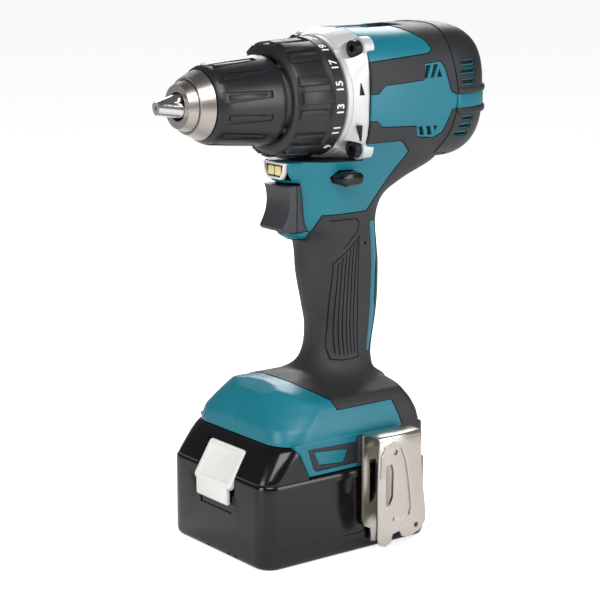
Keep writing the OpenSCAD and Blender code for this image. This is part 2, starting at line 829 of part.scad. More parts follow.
module grip_right() {
    color(black) union() { right_half() rubber_shell(); }
}

module rear_cover() {
    color(black) union() {
        difference() {
            union() {
                barrel(rubber);
                rear_band();
            }
            translate([rear_split - 0.1, -60, axis_z - 60]) cube([100, 120, 120]);
            on_axis(-68) cylinder(r = 23.5, h = 20);
            on_axis(-70.5) cylinder(r = 20, h = 20);
            on_axis(rear_bearing_x - 0.2) cylinder(r = bearing_r + 0.1, h = 20);
            for (s = [-1, 1], z = [-25, -20, -15, 7, 12, 17]) translate([-67, s * 28, axis_z + z + 1])
                cube([9, 16, 2.2], center = true);
            cover_screws() {
                cylinder(r = 1.7, h = 20);
                translate([0, 0, -20]) cylinder(r = 3.4, h = 20);
            }
        }
    }
}

module housing_screws() {
    color("dimgray") union() {
        shell_screws_solid(0);
        cover_screws() {
            translate([0, 0, -2.2]) cylinder(r = 2.8, h = 2.2);
            translate([0, 0, -0.5]) cylinder(r = 1.5, h = 14);
        }
    }
}

// ---------------------------------------------------------------- controls

module switch_body() {
    color(black) difference() {
        translate([-13, -10, axis_z - 61]) cube([22, 20, 18]);
        translate([5 - trigger_travel, -2.2, axis_z - 52]) cube([12, 4.4, 4.4]);
    }
}

// A finger-shaped front whose middle is pulled in, and a plunger behind it.
module trigger() {
    color(black) difference() {
        union() {
            translate([0, trigger_half, 0]) rotate([90, 0, 0]) linear_extrude(2 * trigger_half) polygon([
                [16.4, axis_z - 39.8], [33.6, axis_z - 39.8], [35, axis_z - 59], [33.6, axis_z - 61],
                [27, axis_z - 61.6], [16.4, axis_z - 61.6]
            ]);
            translate([5.4, -2, axis_z - 51.8]) cube([12, 4, 4]);
        }
        translate([49.6, 0, axis_z - 47]) rotate([90, 0, 0]) cylinder(r = 19, h = 60, center = true, $fn = 96);
        // Hollow underside.
        translate([18.6, -trigger_half + 2, axis_z - 64]) cube([9, 2 * trigger_half - 4, 20]);
    }
}

module direction_lever() {
    color(black) difference() {
        translate([1.9, -28.5, axis_z - 39.2]) cube([12.4, 57, 6.6]);
        for (s = [-1, 1], k = [0 : 3]) translate([3.4 + 2.8 * k, s * 28.5 - 1, axis_z - 40]) cube([1.2, 2, 9]);
    }
}

module lamp_lens() {
    color("ivory") translate([26, -8.5, axis_z - 37.1]) cube([6.6, 17, 8]);
}

module speed_selector() {
    color(black) difference() {
        union() {
            translate([-22, -8, axis_z + 26.6]) cube([18, 16, 1.8]);
            translate([-19, -6, axis_z + 28]) cube([12, 12, 2.6]);
            translate([-18.2, -3.6, axis_z + 25]) cube([9.6, 7.2, 2.4]);
        }
        translate([-17, -1, axis_z + 24]) cube([1.8, 2, 3.2]);
        for (k = [0 : 2]) translate([-17.4 + 3.4 * k, -7, axis_z + 29.8]) cube([1.4, 14, 2]);
    }
}

// A sprung wire that hooks the sliding ring gear's groove to the selector.
module shift_wire() {
    x = ring_2_x + 2.8;
    color("silver") union() {
        translate([x, 0, axis_z + ring_r - 1]) cylinder(r = 0.7, h = 6.6);
        translate([x, 0, axis_z]) rotate([0, 90, 0]) rotate([0, 0, 150]) rotate_extrude(angle = 60)
            translate([ring_r - 0.65, 0]) circle(r = 0.55, $fn = 16);
    }
}

// -------------------------------------------------------------------- foot

module controller() {
    color("dimgray") translate([-19, -24, deck_z + 3.3]) cube([54, 48, 9]);
}

module terminal_block() {
    color("goldenrod") union() {
        translate([-19.6, -19.6, deck_z - 8]) cube([23.2, 39.2, 11.2]);
        for (y = [-14, 13.2]) translate([3, y, battery_h + 4]) cube([17, 0.8, deck_z - battery_h - 6]);
        translate([3, -4, deck_z - 8]) cube([14, 8, 0.8]);
    }
}

module hook_inserts() {
    color("goldenrod") for (s = [-1, 1]) translate([hook_x, s * pad_y, hook_z]) rotate([s * 90, 0, 0])
        difference() {
            cylinder(r = insert_r - 0.02, h = pad_y - skirt_inner - 0.4);
            translate([0, 0, -1]) cylinder(r = tap_r, h = 20);
        }
}

hook_top = 59.4;
hook_low = 5.6;
hook_y = pad_y + 0.1;
hook_deep = hook_gap + 2 * hook_t;

// Side profile of the strip, bent over at the top into two leaves.
module hook_profile() {
    polygon([
        [0, 13], [0, hook_top - 2], [2, hook_top], [hook_deep - 1, hook_top], [hook_deep, hook_top - 1.4],
        [hook_deep + 2.4, hook_low], [hook_deep + 1, hook_low - 0.4],
        [hook_deep - hook_t - 0.4, hook_top - hook_t - 0.6], [hook_t, hook_top - hook_t], [hook_t, 13]
    ]);
}

module belt_hook() {
    color("silver") translate([hook_x, hook_y, 0]) difference() {
        translate([hook_w / 2, 0, 0]) rotate([90, 0, -90]) mirror([1, 0, 0]) linear_extrude(hook_w) hook_profile();
        translate([0, -5, hook_z]) rotate([-90, 0, 0]) cylinder(r = 2.1, h = 5 + hook_t + 1);
        translate([0, hook_t + 2, hook_z]) rotate([-90, 0, 0]) cylinder(r = 5, h = 20);
        translate([-3.4, 5, 18]) cube([6.8, 20, 26]);
    }
}

module hook_screw() {
    color("silver") translate([hook_x, hook_y + hook_t, hook_z]) rotate([90, 0, 0]) difference() {
        union() {
            translate([0, 0, -2.6]) cylinder(r = 3.8, h = 2.6);
            cylinder(r = 1.6, h = 6);
        }
        translate([0, 0, -4]) cylinder(r = 1.6, h = 3, $fn = 6);
    }
}

// ----------------------------------------------------------------- battery

module battery_outline(inset, r) {
    plate(battery_rear + inset, battery_x - inset, battery_w / 2 - inset, r);
}

module battery_case() {
    color(black) difference() {
        linear_extrude(battery_h) battery_outline(0, 8);
        translate([0, 0, case_wall]) linear_extrude(battery_h) battery_outline(case_wall, 7);
        // The label's shallow recess, and the hole of the charge gauge's button.
        for (s = [-1, 1]) translate([battery_rear + 10, s * (battery_w / 2) - 0.4, 5]) cube([74, 0.8, 29]);
        translate([battery_rear - 1, -17.3, 24.7]) cube([case_wall + 2, 7.6, 7.6]);
        // The release button moves down into this notch in the front wall.
        translate([battery_x - 4, -button_w / 2 - slack, 30.6]) cube([10, button_w + 2 * slack, 20]);
    }
}

module battery_cells() {
    rows = 2;
    count = 5;
    pitch = (battery_len - 2 * case_wall - 0.4) / count;
    color("cornflowerblue") for (i = [0 : count - 1], k = [0 : rows - 1])
        translate([battery_rear + case_wall + 0.2 + pitch * (i + 0.5), 0, case_wall + 0.1 + cell_r + k * (2 * cell_r + 0.1)])
        rotate([90, 0, 0]) cylinder(r = cell_r, h = cell_len, center = true);
}

catch_x = 46;
catch_len = 3.4;
catch_drop = 3.6;
catch_z = battery_h + 2 + catch_drop + slack;
head_top = deck_z - 1.2;

module battery_lid() {
    z0 = battery_h + 0.05;
    color(black) difference() {
        union() {
            translate([0, 0, z0]) linear_extrude(1.6) battery_outline(0.6, 8);
            translate([battery_rear + 3, -rail_half + 1, z0]) cube([72, 2 * rail_half - 2, 8]);
            translate([battery_rear + 3, -rail_half, z0 + 4.4]) cube([72, 2 * rail_half, 3.6]);
            // The head under the foot's front, which carries the release button.
            translate([0, rail_half, 0]) rotate([90, 0, 0]) linear_extrude(2 * rail_half) polygon([
                [44, z0], [60, z0], [57.4, head_top], [44, head_top]
            ]);
            hull() {
                translate([0, 0, z0]) linear_extrude(eps) plate(41.6, battery_x - 0.7, battery_w / 2 - 1, 8, $fn = 32);
                translate([0, 0, z0 + 8]) linear_extrude(eps) plate(45.6, 63, battery_w / 2 - 3.4, 8, $fn = 32);
                translate([0, 0, head_top]) linear_extrude(eps) plate(51, 58, 31.6, 3.4, $fn = 32);
            }
        }
        translate([battery_rear + 2, -21, z0 + 1.6]) cube([50, 42, 20]);
        translate([battery_rear + 2, -5, z0 - 1]) cube([20, 10, 3]);
        translate([55, -button_w / 2 - slack, 28]) cube([40, button_w + 2 * slack, 40]);
        translate([catch_x - 1, -8, battery_h + 1.7]) cube([12, 16, 20]);
    }
}

module battery_board() {
    color("darkgreen") union() {
        translate([battery_rear + 3, -19, battery_h + 1.75]) cube([48, 38, 1.2]);
        for (y = [-17, -11.4, 10.2, 15.8]) translate([12, y, battery_h + 2.6]) cube([8, 1.2, 8]);
    }
}

module battery_button() {
    color(white) union() {
        translate([0, button_w / 2, 0]) rotate([90, 0, 0]) linear_extrude(button_w) polygon([
            [67.7, 29], [69.8, 29], [69.8, 34.6], [60.4, 52.6], [58.6, 51.8], [67.7, 34.6]
        ]);
        translate([catch_x, -7, catch_z]) cube([18, 14, 3]);
        translate([catch_x, -7, catch_z]) cube([catch_len, 14, deck_z + 1.4 - catch_z]);
    }
}

module gauge_button() {
    color("red") translate([battery_rear - 0.6, -17, 25]) cube([case_wall, 7, 7]);
}

// ------------------------------------------------------------------- nodes

housing_left();
housing_right();
grip_left();
grip_right();
rear_cover();
housing_screws();
gear_case();
gear_case_screws();
ring_gear_1();
ring_gear_2();
clutch_ring();
clutch_pins();
clutch_spring();
adjust_nut();
torque_collar();
spindle_bearing();
tail_plate();
stator_core();
stator_coils();
rotor_shaft();
rotor_core();
fan();
motor_bearings();
carrier(carrier_1_x, planet_1_len, planet_2_x + planet_2_len - carrier_1_x - disc_len);  // carrier_1
carrier(carrier_2_x, planet_2_len, planet_3_x + planet_3_len - carrier_2_x - disc_len);  // carrier_2
for (i = [0 : planets - 1]) {
    planet(planet_1_x, planet_1_len, i);
    planet(planet_2_x, planet_2_len, i);
    planet(planet_3_x, planet_3_len, i);
    jaw(i);
}
spindle();
chuck_body();
chuck_screw();
chuck_nut();
chuck_sleeve();
nose_ring();
switch_body();
trigger();
direction_lever();
lamp_lens();
speed_selector();
shift_wire();
controller();
terminal_block();
belt_hook();
hook_screw();
hook_inserts();
battery_case();
battery_cells();
battery_lid();
battery_board();
battery_button();
gauge_button();
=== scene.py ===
"""Cordless drill driver: housing halves, grip, gear case, chuck and battery.

Sizes are in millimetres in the drill's own frame: +X runs along the spindle
towards the bit, +Y is the tool's left and +Z is up. Finished meshes are metres.
"""
import json
import math

import bmesh
import bpy
from mathutils import Matrix, Vector


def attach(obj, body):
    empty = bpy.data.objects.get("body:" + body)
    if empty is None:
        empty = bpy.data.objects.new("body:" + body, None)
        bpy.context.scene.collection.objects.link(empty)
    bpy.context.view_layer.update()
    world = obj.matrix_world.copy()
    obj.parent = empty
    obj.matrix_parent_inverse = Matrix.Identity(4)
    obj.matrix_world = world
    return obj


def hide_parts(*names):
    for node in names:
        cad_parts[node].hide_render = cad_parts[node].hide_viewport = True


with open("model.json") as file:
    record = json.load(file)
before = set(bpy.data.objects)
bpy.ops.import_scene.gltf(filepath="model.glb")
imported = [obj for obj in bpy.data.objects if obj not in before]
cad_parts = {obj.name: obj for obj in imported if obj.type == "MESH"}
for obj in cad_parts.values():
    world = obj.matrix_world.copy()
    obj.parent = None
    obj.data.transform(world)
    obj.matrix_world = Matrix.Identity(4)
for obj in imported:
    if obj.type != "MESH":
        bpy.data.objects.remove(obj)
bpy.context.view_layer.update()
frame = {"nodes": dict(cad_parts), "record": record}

MM = 0.001
AXIS_Z = 211.0        # height of the spindle axis
FLANK = 60.0          # prisms across the tool reach this far to each side


SKIN_DEPTH = 1.3      # the near-black lining, painted shade for the inside seen through openings, lies this far under the skin
BLACK_PROUD = 0.25    # black covers stand this far out of the coloured shell
COVER_PROUD = 0.35    # and the rear cover this much more
RIB_DEPTH = 0.75      # depth of the grip's grooves
SEAM = 0.25           # half the gap between two mouldings, dark where the lining's painted shade shows through
VOXEL = 0.9           # grid of the body's skin


# ------------------------------------------------------------------ mesh tools

def as_object(name, bm, tidy=True):
    """Turns a mesh in millimetres into an object in metres."""
    if tidy:
        bmesh.ops.remove_doubles(bm, verts=bm.verts, dist=0.0005)
        bmesh.ops.recalc_face_normals(bm, faces=bm.faces)
    bmesh.ops.scale(bm, vec=(MM, MM, MM), verts=bm.verts)
    mesh = bpy.data.meshes.new(name)
    bm.to_mesh(mesh)
    bm.free()
    obj = bpy.data.objects.new(name, mesh)
    bpy.context.scene.collection.objects.link(obj)
    return obj


def apply_modifiers(obj):
    graph = bpy.context.evaluated_depsgraph_get()
    mesh = bpy.data.meshes.new_from_object(obj.evaluated_get(graph))
    obj.modifiers.clear()
    obj.data = mesh
    return obj


def copy_of(obj, name):
    twin = bpy.data.objects.new(name, obj.data.copy())
    bpy.context.scene.collection.objects.link(twin)
    return twin


def drop(*objects):
    for obj in objects:
        bpy.data.objects.remove(obj, do_unlink=True)


def combine(obj, operation, *others, keep=False):
    """Cuts, joins or intersects a closed solid with others."""
    for other in others:
        mod = obj.modifiers.new("solid", "BOOLEAN")
        mod.solver = "MANIFOLD"
        mod.operation = operation
        mod.object = other
    apply_modifiers(obj)
    if not keep:
        drop(*others)
    return obj


def cut(obj, *others, keep=False):
    return combine(obj, "DIFFERENCE", *others, keep=keep)


def join(obj, *others, keep=False):
    return combine(obj, "UNION", *others, keep=keep)


def common(obj, *others, keep=False):
    return combine(obj, "INTERSECT", *others, keep=keep)


def swollen(obj, distance, name):
    """A copy whose surface lies further out, or further in, along its normals."""
    twin = copy_of(obj, name)
    mod = twin.modifiers.new("swell", "DISPLACE")
    mod.strength = distance * MM
    mod.mid_level = 0.0
    return apply_modifiers(twin)


def place(axis, a, b, along):
    """A point from two coordinates across an axis and one along it."""
    if axis == "Y":
        return (a, along, b)
    if axis == "Z":
        return (a, b, along)
    return (along, a, b)


def prism_mesh(bm, outline, low, high, axis="Y", grow=0.0):
    """An outline drawn out along an axis, first grown or shrunk all round."""
    face = bm.faces.new([bm.verts.new(place(axis, a, b, low)) for a, b in outline])
    bm.normal_update()
    if grow:
        rim = bmesh.ops.inset_region(
            bm, faces=[face], thickness=-grow, use_boundary=True, use_even_offset=True)["faces"]
        bmesh.ops.delete(bm, geom=rim, context="FACES")
    top = bmesh.ops.extrude_face_region(bm, geom=[face])["geom"]
    shift = Vector(place(axis, 0, 0, high - low))
    moved = [part for part in top if isinstance(part, bmesh.types.BMVert)]
    bmesh.ops.translate(bm, vec=shift, verts=moved)


def prism(name, outline, low=-FLANK, high=FLANK, axis="Y", grow=0.0):
    bm = bmesh.new()
    prism_mesh(bm, outline, low, high, axis, grow)
    return as_object(name, bm)


def block_outline(a0, a1, b0, b1):
    return [(a0, b0), (a1, b0), (a1, b1), (a0, b1)]


def block(name, x, y, z):
    return prism(name, block_outline(x[0], x[1], z[0], z[1]), y[0], y[1])


def rounded(a0, a1, b0, b1, r, steps=6):
    """A rectangle's outline with round corners."""
    points = []
    corners = ((a1 - r, b1 - r, 0), (a0 + r, b1 - r, 90), (a0 + r, b0 + r, 180), (a1 - r, b0 + r, 270))
    for ca, cb, start in corners:
        for k in range(steps + 1):
            t = math.radians(start + 90 * k / steps)
            points.append((ca + r * math.cos(t), cb + r * math.sin(t)))
    return points


def squircle(a, b, p, count=72):
    """A rounded box outline with half sizes a and b."""
    points = []
    for k in range(count):
        t = math.tau * k / count
        c, s = math.cos(t), math.sin(t)
        points.append((
            a * math.copysign(abs(c) ** (2 / p), c),
            b * math.copysign(abs(s) ** (2 / p), s)))
    return points


def disc(a, b, radius, count):
    """A round outline about a centre."""
    return [(a + u, b + v) for u, v in squircle(radius, radius, 2, count)]


def between(rows, t):
    """Reads a table of stations with a smooth curve through its rows."""
    for k in range(len(rows) - 1):
        if t <= rows[k + 1][0] or k == len(rows) - 2:
            break
    r0, r1 = rows[k], rows[k + 1]
    rp, rn = rows[max(k - 1, 0)], rows[min(k + 2, len(rows) - 1)]
    span = r1[0] - r0[0]
    s = (t - r0[0]) / span
    values = []
    for i in range(1, len(r0)):
        step = (r1[i] - r0[i]) / span
        before = (r0[i] - rp[i]) / (r0[0] - rp[0]) if r0 is not rp else step
        after = (rn[i] - r1[i]) / (rn[0] - r1[0]) if rn is not r1 else step
        m0 = 0 if before * step <= 0 else (before + step) / 2
        m1 = 0 if after * step <= 0 else (after + step) / 2
        values.append(
            (2 * s ** 3 - 3 * s ** 2 + 1) * r0[i] + (s ** 3 - 2 * s ** 2 + s) * span * m0
            + (3 * s ** 2 - 2 * s ** 3) * r1[i] + (s ** 3 - s ** 2) * span * m1)
    return values


def loft(name, rings):
    """Joins rings of points, each with the same count, and closes both ends."""
    bm = bmesh.new()
    loops = []
    for ring in rings:
        verts = bmesh.ops.create_circle(bm, segments=len(ring), radius=1.0)["verts"]
        for vert, point in zip(verts, ring):
            vert.co = point
        loops.append(list({e for v in verts for e in v.link_edges}))
    for first, second in zip(loops, loops[1:]):
        bmesh.ops.bridge_loops(bm, edges=first + second)
    for end in (loops[0], loops[-1]):
        bmesh.ops.contextual_create(bm, geom=end)
    return as_object(name, bm)


def soften(obj, width, segments=3, angle=32.0):
    """Rounds every edge that is sharper than an angle."""
    mod = obj.modifiers.new("soft", "BEVEL")
    mod.width = width * MM
    mod.segments = segments
    mod.limit_method = "ANGLE"
    mod.angle_limit = math.radians(angle)
    return apply_modifiers(obj)


def turned(name, profile, steps=120):
    """Spins a closed profile of (station, radius) round the spindle axis."""
    bm = bmesh.new()
    verts = [bm.verts.new((x, r, 0)) for x, r in profile]
    edges = [bm.edges.new(pair) for pair in zip(verts, verts[1:] + verts[:1])]
    bmesh.ops.spin(
        bm, geom=verts + edges, cent=(0, 0, 0), axis=(1, 0, 0), angle=math.tau, steps=steps, use_merge=True)
    bmesh.ops.translate(bm, vec=(0, 0, AXIS_Z), verts=bm.verts)
    return as_object(name, bm)


def pad_mesh(bm, x, half, low, high, angle, slope=0.0, narrow=1.0):
    """A block that stands out from the spindle axis at an angle."""
    outline = [(x[0], -half * narrow), (x[1], -half), (x[1], half), (x[0], half * narrow)]
    fresh = bmesh.new()
    prism_mesh(fresh, outline, low, high, "Z")
    for vert in fresh.verts:
        vert.co.z -= slope * (vert.co.x - x[0])
    turn = Matrix.Rotation(math.radians(angle - 90), 4, "X")
    bmesh.ops.transform(fresh, matrix=Matrix.Translation((0, 0, AXIS_Z)) @ turn, verts=fresh.verts)
    mesh = bpy.data.meshes.new("pad")
    fresh.to_mesh(mesh)
    fresh.free()
    bm.from_mesh(mesh)
    bpy.data.meshes.remove(mesh)


def pads(name, rows):
    """A set of such blocks that stay clear of each other."""
    bm = bmesh.new()
    for row in rows:
        pad_mesh(bm, *row)
    return as_object(name, bm)


def strips(name, lines, width, low=-FLANK, high=FLANK):
    """Straight bands along broken lines in side view, drawn out to both sides."""
    solid = None
    for line in lines:
        for (ax, az), (bx, bz) in zip(line, line[1:]):
            length = math.hypot(bx - ax, bz - az)
            ux, uz = (bx - ax) / length * width / 2, (bz - az) / length * width / 2
            outline = [(ax - ux - uz, az - uz + ux), (ax - ux + uz, az - uz - ux),
                       (bx + ux + uz, bz + uz - ux), (bx + ux - uz, bz + uz + ux)]
            band = prism("band", outline, low, high)
            solid = band if solid is None else join(solid, band)
    solid.name = name
    return solid


def smooth_shade(obj, angle=35.0):
    for poly in obj.data.polygons:
        poly.use_smooth = True
    obj.data.set_sharp_from_angle(angle=math.radians(angle))


def piece(obj, body, slot, material, *replaced, angle=35.0, name=None):
    """Finishes a piece: its material, its shading, its body and what it stands for."""
    if name:
        obj.name = name
    obj.data.materials.clear()
    obj.data.materials.append(material)
    smooth_shade(obj, angle)
    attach(obj, body)
    if replaced:
        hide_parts(*replaced)
    return obj


# ------------------------------------------------------------------- materials

def group(name, inputs, outputs):
    tree = bpy.data.node_groups.new(name, "ShaderNodeTree")
    for label, kind, value in inputs:
        socket = tree.interface.new_socket(label, in_out="INPUT", socket_type=kind)
        socket.default_value = value
    for label, kind in outputs:
        tree.interface.new_socket(label, in_out="OUTPUT", socket_type=kind)
    enter = tree.nodes.new("NodeGroupInput")
    leave = tree.nodes.new("NodeGroupOutput")
    return tree, enter, leave


def moulded_grain():
    """Fine spark-eroded grain, with a slow drift of sheen over the part."""
    tree, enter, leave = group(
        "moulded_grain",
        [("Scale", "NodeSocketFloat", 2500.0), ("Low", "NodeSocketFloat", 0.35),
         ("High", "NodeSocketFloat", 0.45)],
        [("Roughness", "NodeSocketFloat"), ("Height", "NodeSocketFloat"), ("Drift", "NodeSocketFloat")])
    place_node = tree.nodes.new("ShaderNodeTexCoord")
    fine = tree.nodes.new("ShaderNodeTexNoise")
    fine.inputs["Detail"].default_value = 2.0
    slow = tree.nodes.new("ShaderNodeTexNoise")
    slow.inputs["Scale"].default_value = 45.0
    slow.inputs["Detail"].default_value = 4.0
    spread = tree.nodes.new("ShaderNodeMapRange")
    tree.links.new(place_node.outputs["Object"], fine.inputs["Vector"])
    tree.links.new(place_node.outputs["Object"], slow.inputs["Vector"])
    tree.links.new(enter.outputs["Scale"], fine.inputs["Scale"])
    tree.links.new(slow.outputs["Fac"], spread.inputs["Value"])
    tree.links.new(enter.outputs["Low"], spread.inputs["To Min"])
    tree.links.new(enter.outputs["High"], spread.inputs["To Max"])
    spread.inputs["From Min"].default_value = 0.3
    spread.inputs["From Max"].default_value = 0.7
    tree.links.new(spread.outputs["Result"], leave.inputs["Roughness"])
    tree.links.new(fine.outputs["Fac"], leave.inputs["Height"])
    tree.links.new(slow.outputs["Fac"], leave.inputs["Drift"])
    return tree


GRAIN = moulded_grain()


def surface(name, colour, low, high, metallic=0.0, grain=2500.0, bump=0.02, shift=0.06, coat=0.0, **extra):
    """A finish whose roughness, tone and fine relief vary over the surface."""
    mat = bpy.data.materials.new(name)
    mat.use_nodes = True
    nodes, links = mat.node_tree.nodes, mat.node_tree.links
    shader = nodes["Principled BSDF"]
    shader.inputs["Metallic"].default_value = metallic
    shader.inputs["Coat Weight"].default_value = coat
    shader.inputs["Coat Roughness"].default_value = 0.12
    for label, value in extra.items():
        shader.inputs[label.replace("_", " ").title() if label != "ior" else "IOR"].default_value = value
    skin = nodes.new("ShaderNodeGroup")
    skin.node_tree = GRAIN
    skin.inputs["Scale"].default_value = grain
    skin.inputs["Low"].default_value = low
    skin.inputs["High"].default_value = high
    tone = nodes.new("ShaderNodeMix")
    tone.data_type = "RGBA"
    dark = [c * (1 - shift) for c in colour]
    light = [min(c * (1 + shift), 1.0) for c in colour]
    tone.inputs["A"].default_value = (*dark, 1.0)
    tone.inputs["B"].default_value = (*light, 1.0)
    relief = nodes.new("ShaderNodeBump")
    relief.inputs["Strength"].default_value = bump
    relief.inputs["Distance"].default_value = 0.0002
    links.new(skin.outputs["Drift"], tone.inputs["Factor"])
    links.new(tone.outputs["Result"], shader.inputs["Base Color"])
    links.new(skin.outputs["Roughness"], shader.inputs["Roughness"])
    links.new(skin.outputs["Height"], relief.inputs["Height"])
    links.new(relief.outputs["Normal"], shader.inputs["Normal"])
    return mat


TEAL = surface("teal_moulding", (0.0025, 0.158, 0.215), 0.32, 0.40, grain=3200, bump=0.10)
RUBBER = surface("soft_rubber", (0.020, 0.021, 0.023), 0.50, 0.62, grain=3800, bump=0.25)
COVER = surface("black_cover", (0.017, 0.018, 0.020), 0.40, 0.50, grain=3000, bump=0.2)
COLLAR = surface("collar_black", (0.014, 0.015, 0.017), 0.34, 0.44, grain=2800, bump=0.15)
SLEEVE = surface("sleeve_black", (0.012, 0.013, 0.015), 0.28, 0.36, grain=2600, bump=0.1)
TRIGGER = surface("trigger_black", (0.032, 0.034, 0.038), 0.40, 0.50, grain=3000, bump=0.15)
GLOSS = surface("battery_gloss", (0.004, 0.004, 0.005), 0.13, 0.2, grain=900, bump=0.02)
# Near-black and rough: painted shade for the body's inside, the gear case's pockets and the lamp window.
SHADE_BLACK = surface("painted_shade_black", (0.004, 0.004, 0.005), 0.7, 0.85)
CAST = surface("cast_alloy", (0.62, 0.63, 0.64), 0.34, 0.46, metallic=0.35, grain=2200, bump=0.35, shift=0.05)
NICKEL = surface("satin_nickel", (0.60, 0.56, 0.51), 0.24, 0.34, metallic=1.0, grain=1800, bump=0.1)
GROUND = surface("ground_steel", (0.52, 0.48, 0.44), 0.24, 0.34, metallic=1.0, grain=2400, bump=0.15)
JAW = surface("jaw_steel", (0.72, 0.72, 0.73), 0.12, 0.2, metallic=1.0, grain=1500, bump=0.05)
BLACK_STEEL = surface("black_oxide", (0.03, 0.03, 0.032), 0.28, 0.4, metallic=0.8, grain=1800, bump=0.1)
STEEL = surface("plain_steel", (0.55, 0.55, 0.56), 0.25, 0.4, metallic=1.0)
LAMINATE = surface("stacked_sheet", (0.25, 0.27, 0.3), 0.35, 0.5, metallic=0.9)
COPPER = surface("enamelled_wire", (0.65, 0.25, 0.10), 0.25, 0.35, metallic=0.9)
BRASS = surface("turned_brass", (0.75, 0.55, 0.22), 0.2, 0.35, metallic=1.0)
BOARD = surface("board_green", (0.01, 0.12, 0.05), 0.3, 0.45)
WRAP = surface("cell_wrap", (0.05, 0.15, 0.45), 0.25, 0.4)
POTTING = surface("cast_resin", (0.05, 0.05, 0.055), 0.4, 0.6)
WHITE = surface("latch_white", (0.74, 0.74, 0.71), 0.32, 0.42, grain=3000, bump=0.1, shift=0.03)
INK = surface("dial_white", (0.85, 0.85, 0.84), 0.4, 0.5, shift=0.02)
RED = surface("mark_red", (0.55, 0.02, 0.02), 0.35, 0.45)
GLASS = surface("lamp_clear", (0.92, 0.90, 0.78), 0.08, 0.15, shift=0.02)
LED = surface("led_amber", (0.85, 0.72, 0.35), 0.3, 0.4)

CAD_FINISH = {
    "teal_shell": TEAL, "rubber_grip": RUBBER, "black_plastic": COVER, "gloss_black": GLOSS,
    "cast_alloy": CAST, "steel": STEEL, "dark_steel": BLACK_STEEL, "hook_steel": NICKEL,
    "jaw_steel": JAW, "laminations": LAMINATE, "copper": COPPER, "brass": BRASS, "board": BOARD,
    "lens": GLASS, "button_white": WHITE, "cell_wrap": WRAP, "potting": POTTING, "button_red": RED,
}
NODE_FINISH = {
    "chuck_body": GROUND, "nose_ring": GROUND, "trigger": TRIGGER, "chuck_sleeve": SLEEVE,
    "torque_collar": COLLAR,
}


def finish_cad_nodes():
    slots = {row["node"]: row["material_slot"] for row in frame["record"]["subparts"]}
    for name, obj in frame["nodes"].items():
        finish = NODE_FINISH.get(name, CAD_FINISH[slots[name]])
        for one in obj if isinstance(obj, (list, tuple)) else [obj]:
            one.data.materials.clear()
            one.data.materials.append(finish)


# ----------------------------------------------------------------- the body

# Barrel: station along X, half width, top and bottom from the axis, roundness.
BARREL = [
    (-79.6, 8, 9, 9, 2.6), (-78.4, 15, 16, 16, 2.7), (-76, 20, 21.5, 21, 2.8), (-73, 24, 25.6, 25, 2.9),
    (-68, 28.2, 28.8, 28.6, 3), (-63, 30.6, 30.8, 30.8, 3), (-57, 32, 31.6, 31.8, 3),
    (-46, 32.5, 31.8, 31.4, 3),
    (-30, 32.5, 31.4, 31.2, 3), (-14, 32.2, 31.3, 31, 3), (0, 31, 31.6, 31, 3), (6, 30.6, 31.6, 31, 3),
]
# Neck and grip: height, rear, front, half width, roundness.
GRIP = [
    (76, -24, 26, 25, 3), (79.5, -19.4, 18, 19.6, 2.7), (83, -19.2, 14.2, 17, 2.5), (88, -19.4, 12, 15.6, 2.4),
    (94, -20.6, 10.9, 14.8, 2.4), (102, -22.4, 11, 14.6, 2.4), (112, -24, 13.2, 14.8, 2.4),
    (128, -24.6, 16.6, 15.2, 2.4), (140, -22.9, 17.2, 15.9, 2.5), (146, -21.9, 19, 16.4, 2.55),
    (151, -21.5, 23.4, 17, 2.6), (158, -21.6, 24.6, 18.3, 2.8), (165, -26, 25, 19.5, 2.8),
    (171, -37, 26, 21, 2.8), (179, -55, 26, 23.4, 3), (189, -58, 26, 27.4, 3), (196, -58, 26, 28, 3),
]
BROW = [(171.8, 29.6, 10.4, 3), (173.4, 31.6, 11.8, 3.4), (176.6, 32.8, 13, 3.8), (182.6, 32.8, 14.4, 4)]
LIP = [(143.6, 19, 6, 2.4), (145.2, 25, 8, 2.4), (147, 28.6, 9, 2.6), (148.9, 29.6, 9.4, 3)]
FOOT_SIDE = [
    (-26.2, 50), (-26.2, 57), (-25.6, 62), (-23.6, 68), (-20.2, 74), (-16, 80), (-8, 83), (32, 83), (37, 80.8),
    (48, 75.6), (51.6, 71.2), (54.6, 64), (55.8, 57), (55.8, 50),
]
FOOT_FRONT = [
    (-38.3, 50), (-38.2, 60), (-36.6, 66.4), (-34.4, 71), (-32.2, 73.8), (-22, 77), (-11, 79.2),
    (0, 79.8), (11, 79.2), (22, 77), (32.2, 73.8), (34.4, 71), (36.6, 66.4), (38.2, 60), (38.3, 50),
]
# The foot seen from above at rising heights: rear, front, half width, corner radii.
FOOT_PLAN = [
    (40, -26.2, 55.8, 38.3, 5, 14), (58, -26.2, 55.8, 38.3, 5, 14.5), (63, -25.4, 54.8, 37.8, 6, 17),
    (68, -23.6, 52.6, 36.4, 7, 22), (73, -20.6, 50, 34.2, 8, 26), (77, -17, 47.4, 31.8, 9, 28),
    (84, -12, 42, 28, 10, 26),
]


def plate_plan(rear, front, half, rear_r, front_r, steps=8):
    """A plate seen from above with its own radius at the front and the rear."""
    points = []
    corners = (
        (front - front_r, half - front_r, front_r, 0), (rear + rear_r, half - rear_r, rear_r, 90),
        (rear + rear_r, rear_r - half, rear_r, 180), (front - front_r, front_r - half, front_r, 270))
    for cx, cy, r, start in corners:
        for k in range(steps + 1):
            t = math.radians(start + 90 * k / steps)
            points.append((cx + r * math.cos(t), cy + r * math.sin(t)))
    return points


def barrel_solid():
    rings = []
    steps = 64
    for k in range(steps + 1):
        x = BARREL[0][0] + (BARREL[-1][0] - BARREL[0][0]) * (k / steps) ** 1.3
        half, top, bottom, p = between(BARREL, x)
        middle = AXIS_Z + (top - bottom) / 2
        rings.append([(x, y, middle + z) for y, z in squircle(half, (top + bottom) / 2, p, 96)])
    return loft("barrel", rings)


